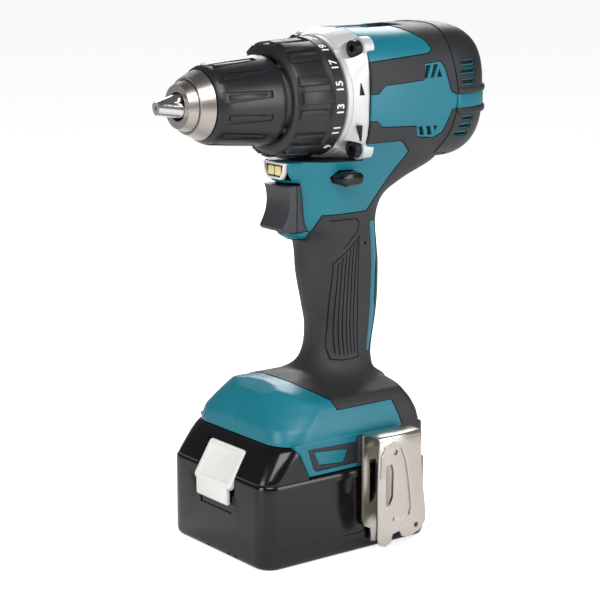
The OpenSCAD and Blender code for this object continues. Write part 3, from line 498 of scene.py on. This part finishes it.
def grip_solid():
    rings = []
    steps = 72
    for k in range(steps + 1):
        z = GRIP[0][0] + (GRIP[-1][0] - GRIP[0][0]) * k / steps
        rear, front, half, p = between(GRIP, z)
        middle = (rear + front) / 2
        rings.append([(middle + x, y, z) for x, y in squircle((front - rear) / 2, half, p, 96)])
    return loft("grip", rings)


def shelf_solid(name, rows, rear):
    rings = []
    for z, front, half, p in rows:
        middle = (rear + front) / 2
        rings.append([(middle + x, y, z) for x, y in squircle((front - rear) / 2, half, p, 64)])
    return loft(name, rings)


def foot_solid():
    foot = prism("foot", FOOT_SIDE)
    common(foot, prism("foot_front", FOOT_FRONT, -60, 90, "X"))
    rings = [[(x, y, z) for x, y in plate_plan(*plan)] for z, *plan in FOOT_PLAN]
    return common(foot, loft("foot_plan", rings))


def make_body():
    """Barrel, neck, grip and foot as one smooth skin."""
    body = barrel_solid()
    join(body, grip_solid(), shelf_solid("brow", BROW, -16), shelf_solid("lip", LIP, -10), foot_solid())
    mesh = body.modifiers.new("skin", "REMESH")
    mesh.mode = "VOXEL"
    mesh.voxel_size = VOXEL * MM
    even = body.modifiers.new("even", "SMOOTH")
    even.factor = 0.5
    even.iterations = 5
    apply_modifiers(body)
    return body


# Outlines in side view (X, Z) of where black covers the body.
UPPER_BLACK = [
    (8, 213.6), (-3.6, 213.6), (-7.4, 217.3), (-30, 218.6), (-30.9, 226), (-40.4, 226.8), (-42.6, 224.4),
    (-46.6, 212.4), (-50.5, 210.8), (-95, 210.8), (-95, 262), (-27.5, 262), (-28.4, 242.4), (-31, 240.4),
    (-35.2, 236.6), (-37.2, 232.2), (-34, 230.4), (-20, 229.5), (8, 227.4),
]
LOWER_BLACK = [
    (8, 201.2), (-3.2, 200.9), (-6.4, 198.1), (-26, 197.3), (-27.8, 192), (-38.3, 190.8), (-43, 193.2),
    (-47.4, 203.6), (-50.5, 204.2), (-95, 204.2), (-95, 150), (-60, 40), (-13.6, 40), (-13.8, 57),
    (-9.6, 69.6), (22.8, 69.6), (24.6, 74), (32.2, 79.6), (46, 86), (46, 110), (34, 145), (20.2, 145.4),
    (19.6, 149), (18.6, 153.6), (17, 157.3), (-7.6, 157.6), (-13.2, 164.5), (-18.2, 173.3), (-25.3, 183),
    (-26.2, 185.4), (-21.6, 189.4), (-19, 190.9), (8, 190.7),
]
# The thin strip of the shell's own colour that shows down the back of the grip.
BACK_STRIP = [
    (-11.6, 152), (-13.2, 140), (-13.9, 130), (-13.5, 112), (-12.4, 98), (-11.1, 88.6), (-13.6, 88.8),
    (-16.6, 98), (-18.4, 108), (-17.2, 113), (-17.8, 129), (-18.8, 134), (-17.9, 146), (-16.4, 152),
]
# The rear cover starts behind this seam.
COVER_SEAM = [
    (-54.6, 181.6), (-45.6, 182.2), (-45.4, 186), (-48.2, 195), (-50, 203.5), (-50.8, 210), (-50.1, 216),
    (-48.6, 223.8), (-47.6, 231.5), (-47.8, 238), (-50.4, 243), (-51, 262), (-95, 262), (-95, 150),
    (-56, 150),
]
RIB_FIELD = [
    (-4.9, 87.2), (4.3, 86.6), (8.8, 87), (9.2, 92), (8.7, 102), (9.3, 116), (8.6, 133.6), (0.5, 140.4),
    (-4.6, 145.6), (-5, 120),
]
VENTS = [
    [(-31.6, 225.2), (-34.6, 225.2), (-31.9, 219.2), (-29.6, 219.0)],
    [(-36.2, 225.4), (-39.2, 225.4), (-35.9, 219.4), (-33.6, 219.2)],
    [(-39.4, 223.6), (-37.5, 219.4), (-41.2, 219.5)],
    [(-27.4, 197.0), (-30, 197.0), (-32.2, 192.6), (-29.5, 192.7)],
    [(-32, 196.9), (-34.6, 196.9), (-37, 192.4), (-34.3, 192.4)],
    [(-36.6, 196.8), (-39.4, 196.9), (-38.4, 193.6)],
]
# Louvres of the rear cover: height, depth, rear and front end.
COVER_SLOTS = [
    (225.2, 2.8, -63.0, -52.4), (221.2, 2.8, -63.2, -52.2), (216.2, 3.2, -62.4, -53.2),
    (198.9, 2.6, -61.6, -53.8), (195.2, 2.6, -60.6, -52.6), (191.6, 2.4, -59.4, -50.6),
]
LEVER_POCKET = [
    (14.7, 175.4), (11.2, 178.5), (4.8, 178.3), (0.2, 176.4), (-1.4, 174.6), (-1.2, 171.8), (6.5, 170.7),
    (13.6, 173),
]
RIB_TOP = 140.2       # height at which the grip's ribs meet the field's slanted edge
# Screws that join the halves: station, height and depth of the head's seat.
SHELL_SCREWS = [(-31, 174.6, 13), (-7, 144, 10), (-4, 104, 10), (-4, 84, 12), (43, 66.4, 20)]
# The bent line moulded above the ribs.
CORNER_MARK = [(13, 154.6), (-1.7, 154.4), (-3.7, 152.5), (-3.4, 148.2), (3.9, 140.5)]


def ring_solid(name, half_length, half_width, low, high, wall, middle=-45.0, p=2.4):
    """A closed hoop of rounded-box plan, which goes round the barrel's rear."""
    hoop = prism(name, [(middle + a, b) for a, b in squircle(half_length, half_width, p)], low, high, "Z")
    inner = [(middle + a, b) for a, b in squircle(half_length - wall, half_width - wall, p)]
    hollow = prism("hollow", inner, low - 5, high + 5, "Z")
    cut(hoop, hollow, block("ahead", (-50.6, 60), (-FLANK, FLANK), (low - 5, high + 5)))
    return hoop


def make_shell():
    """Splits the body's skin into shell halves, rubber, rear cover and a near-black lining of painted shade.
    """
    skin = make_body()
    # A near-black copy just under the skin: painted shade that shows through vents, louvres and seams as the
    # dark inside.
    shade_lining = swollen(skin, -SKIN_DEPTH, "shade_lining")
    black_skin = swollen(skin, BLACK_PROUD, "black_skin")
    rib_floor = swollen(skin, -RIB_DEPTH, "rib_floor")

    # Rooms for the gear case, the trigger, the lamp and the direction lever.
    room = block("room", (-0.1, 80), (-FLANK, FLANK), (182.5, 262))
    below = block("below", (-60, 80), (-FLANK, FLANK), (20, 56.4))
    pocket = prism("pocket", rounded(8, 70, 149.2, 172.6, 3.2), -9.6, 9.6)
    lever_way = prism("lever_way", LEVER_POCKET, grow=0.3)
    lamp_way = block("lamp_way", (25.4, 60), (-8.7, 8.7), (173.8, 182.3))
    selector_way = block("selector_way", (-36, -2), (-8.6, 8.6), (237, 262))
    for obj in (skin, black_skin, shade_lining):
        cut(obj, room, below, pocket, lever_way, lamp_way, selector_way, keep=True)
    drop(room, below, pocket, lever_way, lamp_way, selector_way)

    strip = prism("strip", BACK_STRIP, grow=SEAM)
    cover_zone = prism("cover_zone", COVER_SEAM, grow=-0.2)
    seam_zone = prism("seam_zone", COVER_SEAM, grow=0.15)
    inner = swollen(shade_lining, 0.1, "inner")

    teal = copy_of(skin, "teal")
    for outline in (UPPER_BLACK, LOWER_BLACK):
        cut(teal, prism("zone", outline, grow=SEAM))
    cut(teal, seam_zone, keep=True)
    strip_piece = common(copy_of(skin, "strip_piece"), prism("strip_core", BACK_STRIP, grow=-0.1))
    cut(strip_piece, inner, keep=True)

    rubber = copy_of(black_skin, "rubber")
    mask = prism("mask", UPPER_BLACK, grow=-0.15)
    join(mask, prism("mask_low", LOWER_BLACK, grow=-0.15))
    common(rubber, mask, keep=True)
    cut(rubber, seam_zone, strip, keep=True)

    cover = swollen(black_skin, COVER_PROUD, "cover")
    common(cover, cover_zone, mask)
    drop(black_skin, seam_zone, strip)

    # Vents in the flanks, and louvres in the rear cover with coloured frames.
    for outline in VENTS:
        cut(teal, prism("vent", outline, grow=-0.05))
    frames = None
    for height, depth, rear, front in COVER_SLOTS:
        outline = rounded(rear, front, height - depth / 2, height + depth / 2, 0.9, 3)
        cut(cover, prism("slot", outline))
        frame_piece = common(copy_of(skin, "frame"), prism("rim", outline, grow=-0.12))
        cut(frame_piece, prism("throat", outline, grow=-0.6))
        frames = frame_piece if frames is None else join(frames, frame_piece)
    cut(frames, inner, keep=True)

    # Grooves of the grip: its ribs, the field's edge and the corner mark above it.
    lines = [
        [(x, 88.6 + 0.25 * abs(x - 2)), (x + 0.35, 110), (x - 0.2, 132), (x - 0.6, RIB_TOP - 1.02 * x)]
        for x in (-3.0, -1.1, 0.8, 2.7, 4.6, 6.5)]
    grooves = strips("grooves", lines + [RIB_FIELD + RIB_FIELD[:1], CORNER_MARK], 0.55)
    join(grooves, prism("dimple", disc(-8.7, 141.8, 0.8, 16)))
    cut(grooves, rib_floor)
    cut(rubber, grooves)
    for x, z, head in SHELL_SCREWS:
        well = prism("well", disc(x, z, 3.1, 32), -FLANK, -head)
        for part in (teal, rubber, shade_lining):
            cut(part, well, keep=True)
        drop(well)
    for part in (teal, rubber, cover):
        cut(part, inner, keep=True)
    drop(inner, skin)
    return teal, rubber, cover, shade_lining, strip_piece, frames


def halves(obj, names):
    """Splits a solid at the middle plane into a left and a right piece."""
    made = []
    for name, side in zip(names, (1, -1)):
        bm = bmesh.new()
        bm.from_mesh(obj.data)
        geom = bm.verts[:] + bm.edges[:] + bm.faces[:]
        bmesh.ops.bisect_plane(
            bm, geom=geom, plane_co=(0, side * 0.08 * MM, 0), plane_no=(0, -side, 0), clear_outer=True)
        edges = [e for e in bm.edges if e.is_boundary]
        bmesh.ops.holes_fill(bm, edges=edges, sides=0)
        mesh = bpy.data.meshes.new(name)
        bm.to_mesh(mesh)
        bm.free()
        half = bpy.data.objects.new(name, mesh)
        bpy.context.scene.collection.objects.link(half)
        made.append(half)
    drop(obj)
    return made


def make_housing():
    teal, rubber, cover, shade_lining, strip_piece, frames = make_shell()
    for solid, names, slot, finish, nodes in (
            (teal, ("shell_left", "shell_right"), "teal_shell", TEAL, ("housing_left", "housing_right")),
            (rubber, ("rubber_left", "rubber_right"), "rubber_grip", RUBBER, ("grip_left", "grip_right"))):
        for half, node in zip(halves(solid, names), nodes):
            piece(half, "housing", slot, finish, node)
    piece(cover, "housing", "black_plastic", COVER, "rear_cover", name="rear_cover_shell")
    # The near-black lining is painted shade for the inside of the body.
    piece(shade_lining, "housing", "black_plastic", SHADE_BLACK, name="shell_painted_shade")
    piece(strip_piece, "housing", "teal_shell", TEAL, name="grip_back_strips")
    piece(frames, "housing", "teal_shell", TEAL, name="cover_louvres")
    band = soften(ring_solid("band", 37.6, 33.5, 204.0, 210.8, 5), 0.5)
    piece(band, "housing", "teal_shell", TEAL, name="rear_band")
    for name, low, high in (("bumper_upper", 210.4, 213.8), ("bumper_lower", 200.8, 204.4)):
        lip = soften(ring_solid(name, 38.4, 34.2, low, high, 5), 1.2)
        piece(lip, "housing", "rubber_grip", RUBBER, name=name)


def make_skirts():
    """Skirts over the battery's rails, each with a black seat and a coloured inset."""
    edge = [(49.8, 57.4), (49.4, 55.6), (46.7, 53), (41.2, 41.2), (-13.2, 41.2), (-13.2, 57.4)]
    rear = [(-13.8, 57.4), (-13.8, 41.2), (-25, 41.2), (-26.3, 43), (-26.3, 57.4)]
    seat = [(42.3, 54.4), (11, 53.4), (-12.6, 52.6), (-12.6, 43.4), (37.4, 43.2), (39.2, 45)]
    inset = [(39, 52.7), (18.2, 51.2), (21.2, 44.6), (35.6, 45.8)]
    names = {1: "left", -1: "right"}
    for side in (1, -1):
        near, far = sorted((side * 33.7, side * 38.3))
        skirt = soften(prism("skirt", edge, near, far), 0.5)
        inner, outer = sorted((side * 37.2, side * 45))
        cut(skirt, prism("bed", seat, inner, outer))
        piece(skirt, "housing", "teal_shell", TEAL, name=f"skirt_{names[side]}")
        corner = soften(prism("corner", rear, near, far), 1.2)
        piece(corner, "housing", "rubber_grip", RUBBER, name=f"skirt_corner_{names[side]}")
        inner, outer = sorted((side * 37.2, side * 38.1))
        bed = soften(prism("seat", seat, inner, outer, grow=-0.25), 0.25, 2)
        well = sorted((side * 37.6, side * 40))
        cut(bed, prism("well", inset, *well))
        piece(bed, "housing", "rubber_grip", RUBBER, name=f"seat_{names[side]}")
        inner, outer = sorted((side * 37.3, side * 37.95))
        tab = soften(prism("tab", inset, inner, outer, grow=-0.3), 0.2)
        piece(tab, "housing", "teal_shell", TEAL, name=f"seat_inset_{names[side]}")
        inner, outer = sorted((side * 38.1, side * 40.5))
        pad = soften(prism("pad", rounded(-13, 14, 43, 56.4, 1.5), inner, outer), 0.4)
        piece(pad, "housing", "rubber_grip", RUBBER, name=f"hook_seat_{names[side]}")


def make_battery():
    """Glossy case with label recesses, the sloping head and the release latch."""
    rows = [(0, 2.4), (0.5, 1.3), (1.6, 0.4), (3, 0), (38.6, 0), (40, 0.4), (40.6, 1.1)]
    rings = [
        [(x, y, z) for x, y in plate_plan(-30.3 + i, 67.2 - i, 39.3 - i, 7 - i, 9 - i)]
        for z, i in rows]
    case = soften(loft("case", rings), 0.35, 2)
    for side in (1, -1):
        inner, outer = sorted((side * 38.8, side * 50))
        cut(case, prism("label", rounded(-21, 63.6, 9, 36.8, 2.6), inner, outer))
    cut(case, block("back_step", (-40, -12), (-FLANK, FLANK), (38.2, 60)))
    for y in (-32, -7, 10, 15):
        cut(case, block("notch", (66, 70), (y - 1.2, y + 1.2), (-1, 2.2)))
    # The latch plate slides straight down, so its way follows its underside at full press.
    way = [(72, 29.8), (67.3, 29.8), (57.0, 46.6), (57.0, 50.4), (60.3, 52), (80, 70)]
    foot_way = block("latch_foot_way", (66.6, 70), (-12.8, 12.8), (22, 36))
    cut(case, prism("latch_way", way, -15, 15), foot_way)
    piece(case, "battery", "gloss_black", GLOSS, "battery_case", name="battery_shell")
    deck = soften(block("deck", (-27.2, 19), (-33, 33), (38.4, 46.4)), 1.2)
    join(deck, soften(block("tower", (-24, 19), (-32.6, 32.6), (45, 55.8)), 1.6))
    for y in (-22, 22):
        cut(deck, block("blade_way", (-30, 4), (y - 1.6, y + 1.6), (47, 60)))
    cut(deck, block("plug_way", (-30, 4), (-9, 9), (47, 60)))
    piece(deck, "battery", "gloss_black", COVER, name="battery_rails")
    rows = [
        (40.2, 66.4, 38.5, 9), (41, 66.5, 38.5, 9), (43, 65.4, 38.5, 9.6), (47, 63.1, 38.4, 10.6),
        (51, 60.7, 38.3, 11.8), (54, 58.6, 38, 12.8), (55.5, 57, 37.6, 13), (56.1, 55.6, 36.8, 13),
    ]
    rings = [[(x, y, z) for x, y in plate_plan(18, front, half, 3, r)] for z, front, half, r in rows]
    head = loft("head", rings)
    sides = [(41.8, 30), (41.8, 41.6), (47.2, 53), (50.2, 56.6), (50.2, 70), (0, 70), (0, 30)]
    for side in (1, -1):
        inner, outer = sorted((side * 33.2, side * 45))
        cut(head, prism("under_skirt", sides, inner, outer))
    soften(head, 0.7, 3)
    cut(head, prism("latch_way", way, -15.2, 15.2))
    piece(head, "battery", "gloss_black", GLOSS, "battery_lid", name="battery_head")

    along = Vector((-9.6, 0, 15.6)).normalized()
    out = Vector((15.6, 0, 9.6)).normalized()
    basis = Matrix(((0, along.x, out.x, 69.4), (1, 0, 0, 0), (0, along.z, out.z, 35.0), (0, 0, 0, 1)))
    latch = soften(prism("latch", rounded(-14.6, 14.6, -0.6, 19.4, 2.2), -2.4, 0.6, "Z"), 0.7)
    cut(latch, soften(prism("dish", rounded(-12.8, 12.8, 1.6, 17.6, 1.2), 0.0, 4, "Z"), 0.35, 2))
    for vert in latch.data.vertices:
        vert.co = basis @ (vert.co / MM) * MM
    foot = [(67.7, 26.6), (69.2, 26.2), (69.8, 27), (70, 34.8), (67.7, 36)]
    lower = soften(prism("latch_foot", foot, -12.4, 12.4), 0.5, 2)
    piece(latch, "release_button", "button_white", WHITE, "battery_button", name="release_latch")
    piece(lower, "release_button", "button_white", WHITE, name="release_latch_foot")


def make_hook():
    """Bent steel belt hook with a slot, a stamped loop and lugs at its foot."""
    near, far, top = 40.7, 52.8, 58.6
    sheet = 1.5
    inner = soften(prism("inner", [
        (-12.6, top - 2), (12.9, top - 2), (12.9, 16), (11.6, 12.6), (8, 11), (7.6, 4.6), (5, 4),
        (4.4, 10.6), (-6, 11), (-12.6, 24)], near, near + sheet), 0.3, 2)
    crown = soften(prism("crown", [
        (near, top - 2.4), (near + 0.5, top - 0.6), (near + 2, top), (far - 1, top),
        (far + 0.9, top - 0.5), (far + sheet, top - 2.4), (far, top - 2.4), (far - 0.6, top - 1.6),
        (near + 2, top - sheet), (near + sheet, top - 2.4)], -12.6, 12.9, "X"), 0.3, 2)
    outer = soften(prism("outer", [
        (-12.6, top - 2.3), (-12.2, 50), (-13.4, 34), (-15.6, 18), (-15.4, 13.4), (-12.4, 9.8),
        (-6, 7.4), (-1.4, 8.4), (0.2, 11.4), (4.4, 10.6), (5.6, 6.6), (9, 5.3), (12.2, 6.4),
        (13.4, 10), (13.8, 30), (13.4, 48), (12.9, top - 2.3)], far, far + sheet), 0.35, 2)
    join(outer, crown, inner)
    slot = [(9, 44.6), (5.4, 44.8), (4.4, 41), (4.6, 29), (6.4, 25), (8.8, 23.4)]
    cut(outer, prism("slot", slot, near - 1, 70))
    for x, z in ((-9.6, 12.6), (3.4, 50.2)):
        cut(outer, prism("eye", disc(x, z, 1.3, 24), far - 3, 70))
    cut(outer, prism("bore", disc(0.5, 50, 2.1, 24), 30, 50))
    loop = [
        (11.4, 40), (11, 49), (8.8, 53), (4, 54.6), (-0.6, 52.6), (-3.4, 46), (-5.6, 34), (-7, 22),
        (-5.6, 17.6), (-1.6, 16.2), (3.2, 17.6)]
    rib = strips("loop", [loop], 2.0, far + 1.2, far + 2.1)
    piece(outer, "housing", "hook_steel", NICKEL, "belt_hook", name="belt_hook_bent")
    piece(soften(rib, 0.3, 2), "housing", "hook_steel", NICKEL, name="belt_hook_bead")


# The dial's numbers: radius, angle at the number nearest the flank, and degrees for each step.
DIAL_RADIUS = 27.9
DIAL_MIDDLE = 13
DIAL_ANGLE = -7.0
DIAL_STEP = 10.7


def make_chuck_and_collar():
    """Torque collar and chuck sleeve with their grips, and the dial's odd numbers."""
    profile = [
        (12.1, 24.2), (12.1, 27.4), (12.5, 27.8), (18.6, 27.9), (19.4, 27.2), (20.2, 26.3), (30, 25.9),
        (35.4, 25.5), (36.8, 24.6), (37.8, 23.2), (38, 21.6), (38, 20.8), (36.4, 20.6), (36.4, 19),
        (34, 18.2), (33, 18.2), (33, 24.2)]
    collar = turned("collar", profile, 144)
    rows = []
    for k in range(6):
        middle = 5.5 + 60 * k
        rows.append(((18.8, 35.6), 3.0, 22.0, 27.75, middle, 0.03))
        for shift in (-17.0, 17.0):
            rows.append(((20.8, 36.4), 2.3, 22.0, 27.5, middle + shift, 0.05))
    join(collar, soften(pads("collar_bars", rows), 0.45, 2))
    rows = [
        ((21.2, 34), 0.35, 27.3, 30, 5.5 + 60 * k + shift, 0.05)
        for k in range(6) for shift in (-17, 17)]
    cut(collar, pads("bar_lines", rows))
    piece(collar, "collar", "black_plastic", COLLAR, "torque_collar", name="collar_grip")

    profile = [
        (40, 17.6), (40, 20.0), (40.4, 20.5), (41.2, 20.7), (43, 20.7), (50, 20.1), (60, 19.3),
        (68, 18.55), (71, 18.1), (73.2, 17.2), (74.6, 15.9), (74.6, 14.4), (70, 14.4), (66, 17.6)]
    sleeve = turned("sleeve", profile, 144)
    rows = [((47.5, 72.6), 2.7, 19.35, 24, 30 * k + 14, 0.075, 0.62) for k in range(12)]
    cut(sleeve, soften(pads("flutes", rows), 0.4, 2))
    rows = [((50, 69.5), 1.35, 17.7, 19.95, 30 * k + 14, 0.076, 0.5) for k in range(12)]
    join(sleeve, soften(pads("fillets", rows), 0.3, 2))
    piece(sleeve, "sleeve", "black_plastic", SLEEVE, "chuck_sleeve", name="sleeve_grip")

    for number in range(1, 22, 2):
        data = bpy.data.curves.new(f"numeral_{number}", "FONT")
        data.body = str(number)
        data.size = 5.5
        data.extrude = 0.12
        data.offset = 0.07
        data.align_x = "CENTER"
        data.align_y = "CENTER"
        sign = bpy.data.objects.new("sign", data)
        bpy.context.scene.collection.objects.link(sign)
        graph = bpy.context.evaluated_depsgraph_get()
        mesh = bpy.data.meshes.new_from_object(sign.evaluated_get(graph))
        drop(sign)
        bm = bmesh.new()
        bm.from_mesh(mesh)
        middle = math.radians(DIAL_ANGLE + DIAL_STEP * (number - DIAL_MIDDLE))
        for vert in bm.verts:
            turn = middle + vert.co.x / DIAL_RADIUS
            radius = DIAL_RADIUS - 0.04 + vert.co.z
            vert.co = (15.5 + vert.co.y, radius * math.cos(turn), AXIS_Z + radius * math.sin(turn))
        piece(as_object("numeral", bm), "collar", "button_white", INK, name=f"numeral_{number}")


def make_controls():
    """Trigger with its hollow front, the direction bar and the work lamp."""
    outline = [(16.4, 149.6), (16.4, 171.2), (33.3, 171.2)]
    for k in range(9):
        height = 171.0 - 2.15 * k
        outline.append((49.6 - math.sqrt(19.0 ** 2 - (height - 164) ** 2), height))
    outline += [(34.6, 151.6), (33.8, 150.2), (32, 149.6)]
    trigger = soften(prism("trigger_body", outline, -9.2, 9.2), 1.5, 4, 40)
    ring = block("ring", (26.2, 26.9), (-20, 20), (140, 180))
    cut(ring, block("core", (20, 30), (-8.7, 8.7), (150, 170.6)))
    cut(trigger, ring)
    piece(trigger, "trigger", "black_plastic", TRIGGER, "trigger", name="trigger_moulding")
    bar = [(2.2, 173.2), (4, 172.2), (12.2, 172), (14.0, 174), (13.7, 176.4), (11, 178), (4, 178), (2, 176.4)]
    lever = soften(prism("lever", bar, -28.3, 28.3), 0.9, 3)
    piece(lever, "direction_lever", "gloss_black", GLOSS, "direction_lever", name="direction_bar")

    rim = [(8.2, 182), (7.4, 177.6), (5.2, 174.2), (-5.2, 174.2), (-7.4, 177.6), (-8.2, 182)]
    frame_piece = soften(prism("lamp_frame", rim, 30.6, 33.2, "X"), 0.3, 2)
    cut(frame_piece, prism("lamp_well", rim, 31.6, 40, "X", grow=-0.95))
    piece(frame_piece, "housing", "button_white", WHITE, name="lamp_bezel")
    # The window is opaque near-black: painted shade for the dark inside behind the clear lens.
    lens = prism("lens", rim, 31.0, 32.2, "X", grow=-1.2)
    piece(lens, "housing", "lens", SHADE_BLACK, "lamp_lens", name="lamp_window")
    for k, y in enumerate((-2.6, 2.6)):
        outline = rounded(y - 2.1, y + 2.1, 176, 180.2, 0.5, 3)
        cell = soften(prism("cell", outline, 31.5, 32.9, "X"), 0.2, 2)
        piece(cell, "housing", "lens", LED, name=f"lamp_cell_{k}")


def make_gear_case_marks():
    """Flat dark triangles painted as the shade in the gear case's cast pockets, and the collar's index mark.
    """
    # The pockets are flat near-black triangles just proud of the case: painted shade, not recesses.
    pocket_shades = [[(3.0, 213.4), (5.8, 213.4), (5.2, 219)], [(4.2, 199.6), (7, 199.6), (4.8, 192.4)]]
    for k, outline in enumerate(pocket_shades):
        for name, side in (("left", 1), ("right", -1)):
            near, far = sorted((side * 28, side * 29.42))
            pocket = prism("pocket", outline, near, far)
            piece(pocket, "housing", "cast_alloy", SHADE_BLACK, name=f"case_pocket_shade_{k}_{name}")
    mark = pads("mark", [((9.4, 11.4), 1.1, 27.5, 28.62, 86, 0.0, 0.1)])
    piece(mark, "housing", "button_red", RED, name="index_mark")


finish_cad_nodes()
make_housing()
make_gear_case_marks()
make_skirts()
make_battery()
make_hook()
make_chuck_and_collar()
make_controls()


# ------------------------------------------------------------------- the stage

FLOOR_GLOW = 0.62     # lifts the floor towards white where the camera sees it
AIM = (0, 0, 0.15)    # the lights point here


def make_stage():
    """A wide pale floor, and a world that is white behind the tool."""
    bm = bmesh.new()
    bmesh.ops.create_grid(bm, x_segments=1, y_segments=1, size=9000)
    floor = as_object("floor", bm, tidy=False)
    pale = surface("pale_floor", (0.86, 0.86, 0.86), 0.6, 0.7, grain=10, bump=0.0, shift=0.0)
    shader = pale.node_tree.nodes["Principled BSDF"]
    shader.inputs["Emission Color"].default_value = (1.0, 1.0, 1.0, 1.0)
    tree = pale.node_tree
    seen = tree.nodes.new("ShaderNodeLightPath")
    lift = tree.nodes.new("ShaderNodeMath")
    lift.operation = "MULTIPLY"
    lift.inputs[1].default_value = FLOOR_GLOW
    tree.links.new(seen.outputs["Is Camera Ray"], lift.inputs[0])
    tree.links.new(lift.outputs["Value"], shader.inputs["Emission Strength"])
    floor.data.materials.append(pale)
    world = bpy.data.worlds.new("studio")
    bpy.context.scene.world = world
    world.use_nodes = True
    nodes, links = world.node_tree.nodes, world.node_tree.links
    room = nodes["Background"]
    room.inputs["Strength"].default_value = 0.55
    shade = nodes.new("ShaderNodeMix")
    shade.data_type = "RGBA"
    shade.inputs["A"].default_value = (0.75, 0.75, 0.75, 1.0)
    shade.inputs["B"].default_value = (0.22, 0.22, 0.23, 1.0)
    white = nodes.new("ShaderNodeBackground")
    white.inputs["Color"].default_value = (1.0, 1.0, 1.0, 1.0)
    pick = nodes.new("ShaderNodeMixShader")
    rays = nodes.new("ShaderNodeLightPath")
    links.new(rays.outputs["Is Glossy Ray"], shade.inputs["Factor"])
    links.new(shade.outputs["Result"], room.inputs["Color"])
    links.new(rays.outputs["Is Camera Ray"], pick.inputs["Fac"])
    links.new(room.outputs["Background"], pick.inputs[1])
    links.new(white.outputs["Background"], pick.inputs[2])
    links.new(pick.outputs["Shader"], nodes["World Output"].inputs["Surface"])


def soft_light(name, spot, aim, size, power):
    data = bpy.data.lights.new(name, "AREA")
    data.shape = "RECTANGLE"
    data.size, data.size_y = size
    data.energy = power
    light = bpy.data.objects.new(name, data)
    bpy.context.scene.collection.objects.link(light)
    light.location = spot
    light.rotation_euler = (Vector(aim) - Vector(spot)).to_track_quat("-Z", "Y").to_euler()


def make_camera():
    data = bpy.data.cameras.new("view")
    data.lens = 113.9
    data.sensor_width = 36.0
    data.clip_end = 20.0
    camera = bpy.data.objects.new("view", data)
    bpy.context.scene.collection.objects.link(camera)
    yaw, pitch = -2.217, -0.212
    ahead = Vector((math.cos(pitch) * math.cos(yaw), math.cos(pitch) * math.sin(yaw), math.sin(pitch)))
    camera.location = (0.5469, 0.7014, 0.3040)
    camera.rotation_euler = ahead.to_track_quat("-Z", "Y").to_euler()
    bpy.context.scene.camera = camera


make_stage()
soft_light("key", (0.5, 0.75, 1.0), AIM, (0.7, 0.7), 9)
soft_light("side", (-0.5, 1.1, 0.5), AIM, (0.5, 0.9), 6)
soft_light("front", (1.2, 0.1, 0.45), AIM, (0.4, 0.8), 5)
soft_light("rim", (-0.6, -0.8, 0.7), AIM, (0.6, 0.6), 6)
make_camera()
bpy.context.scene.view_settings.view_transform = "Standard"
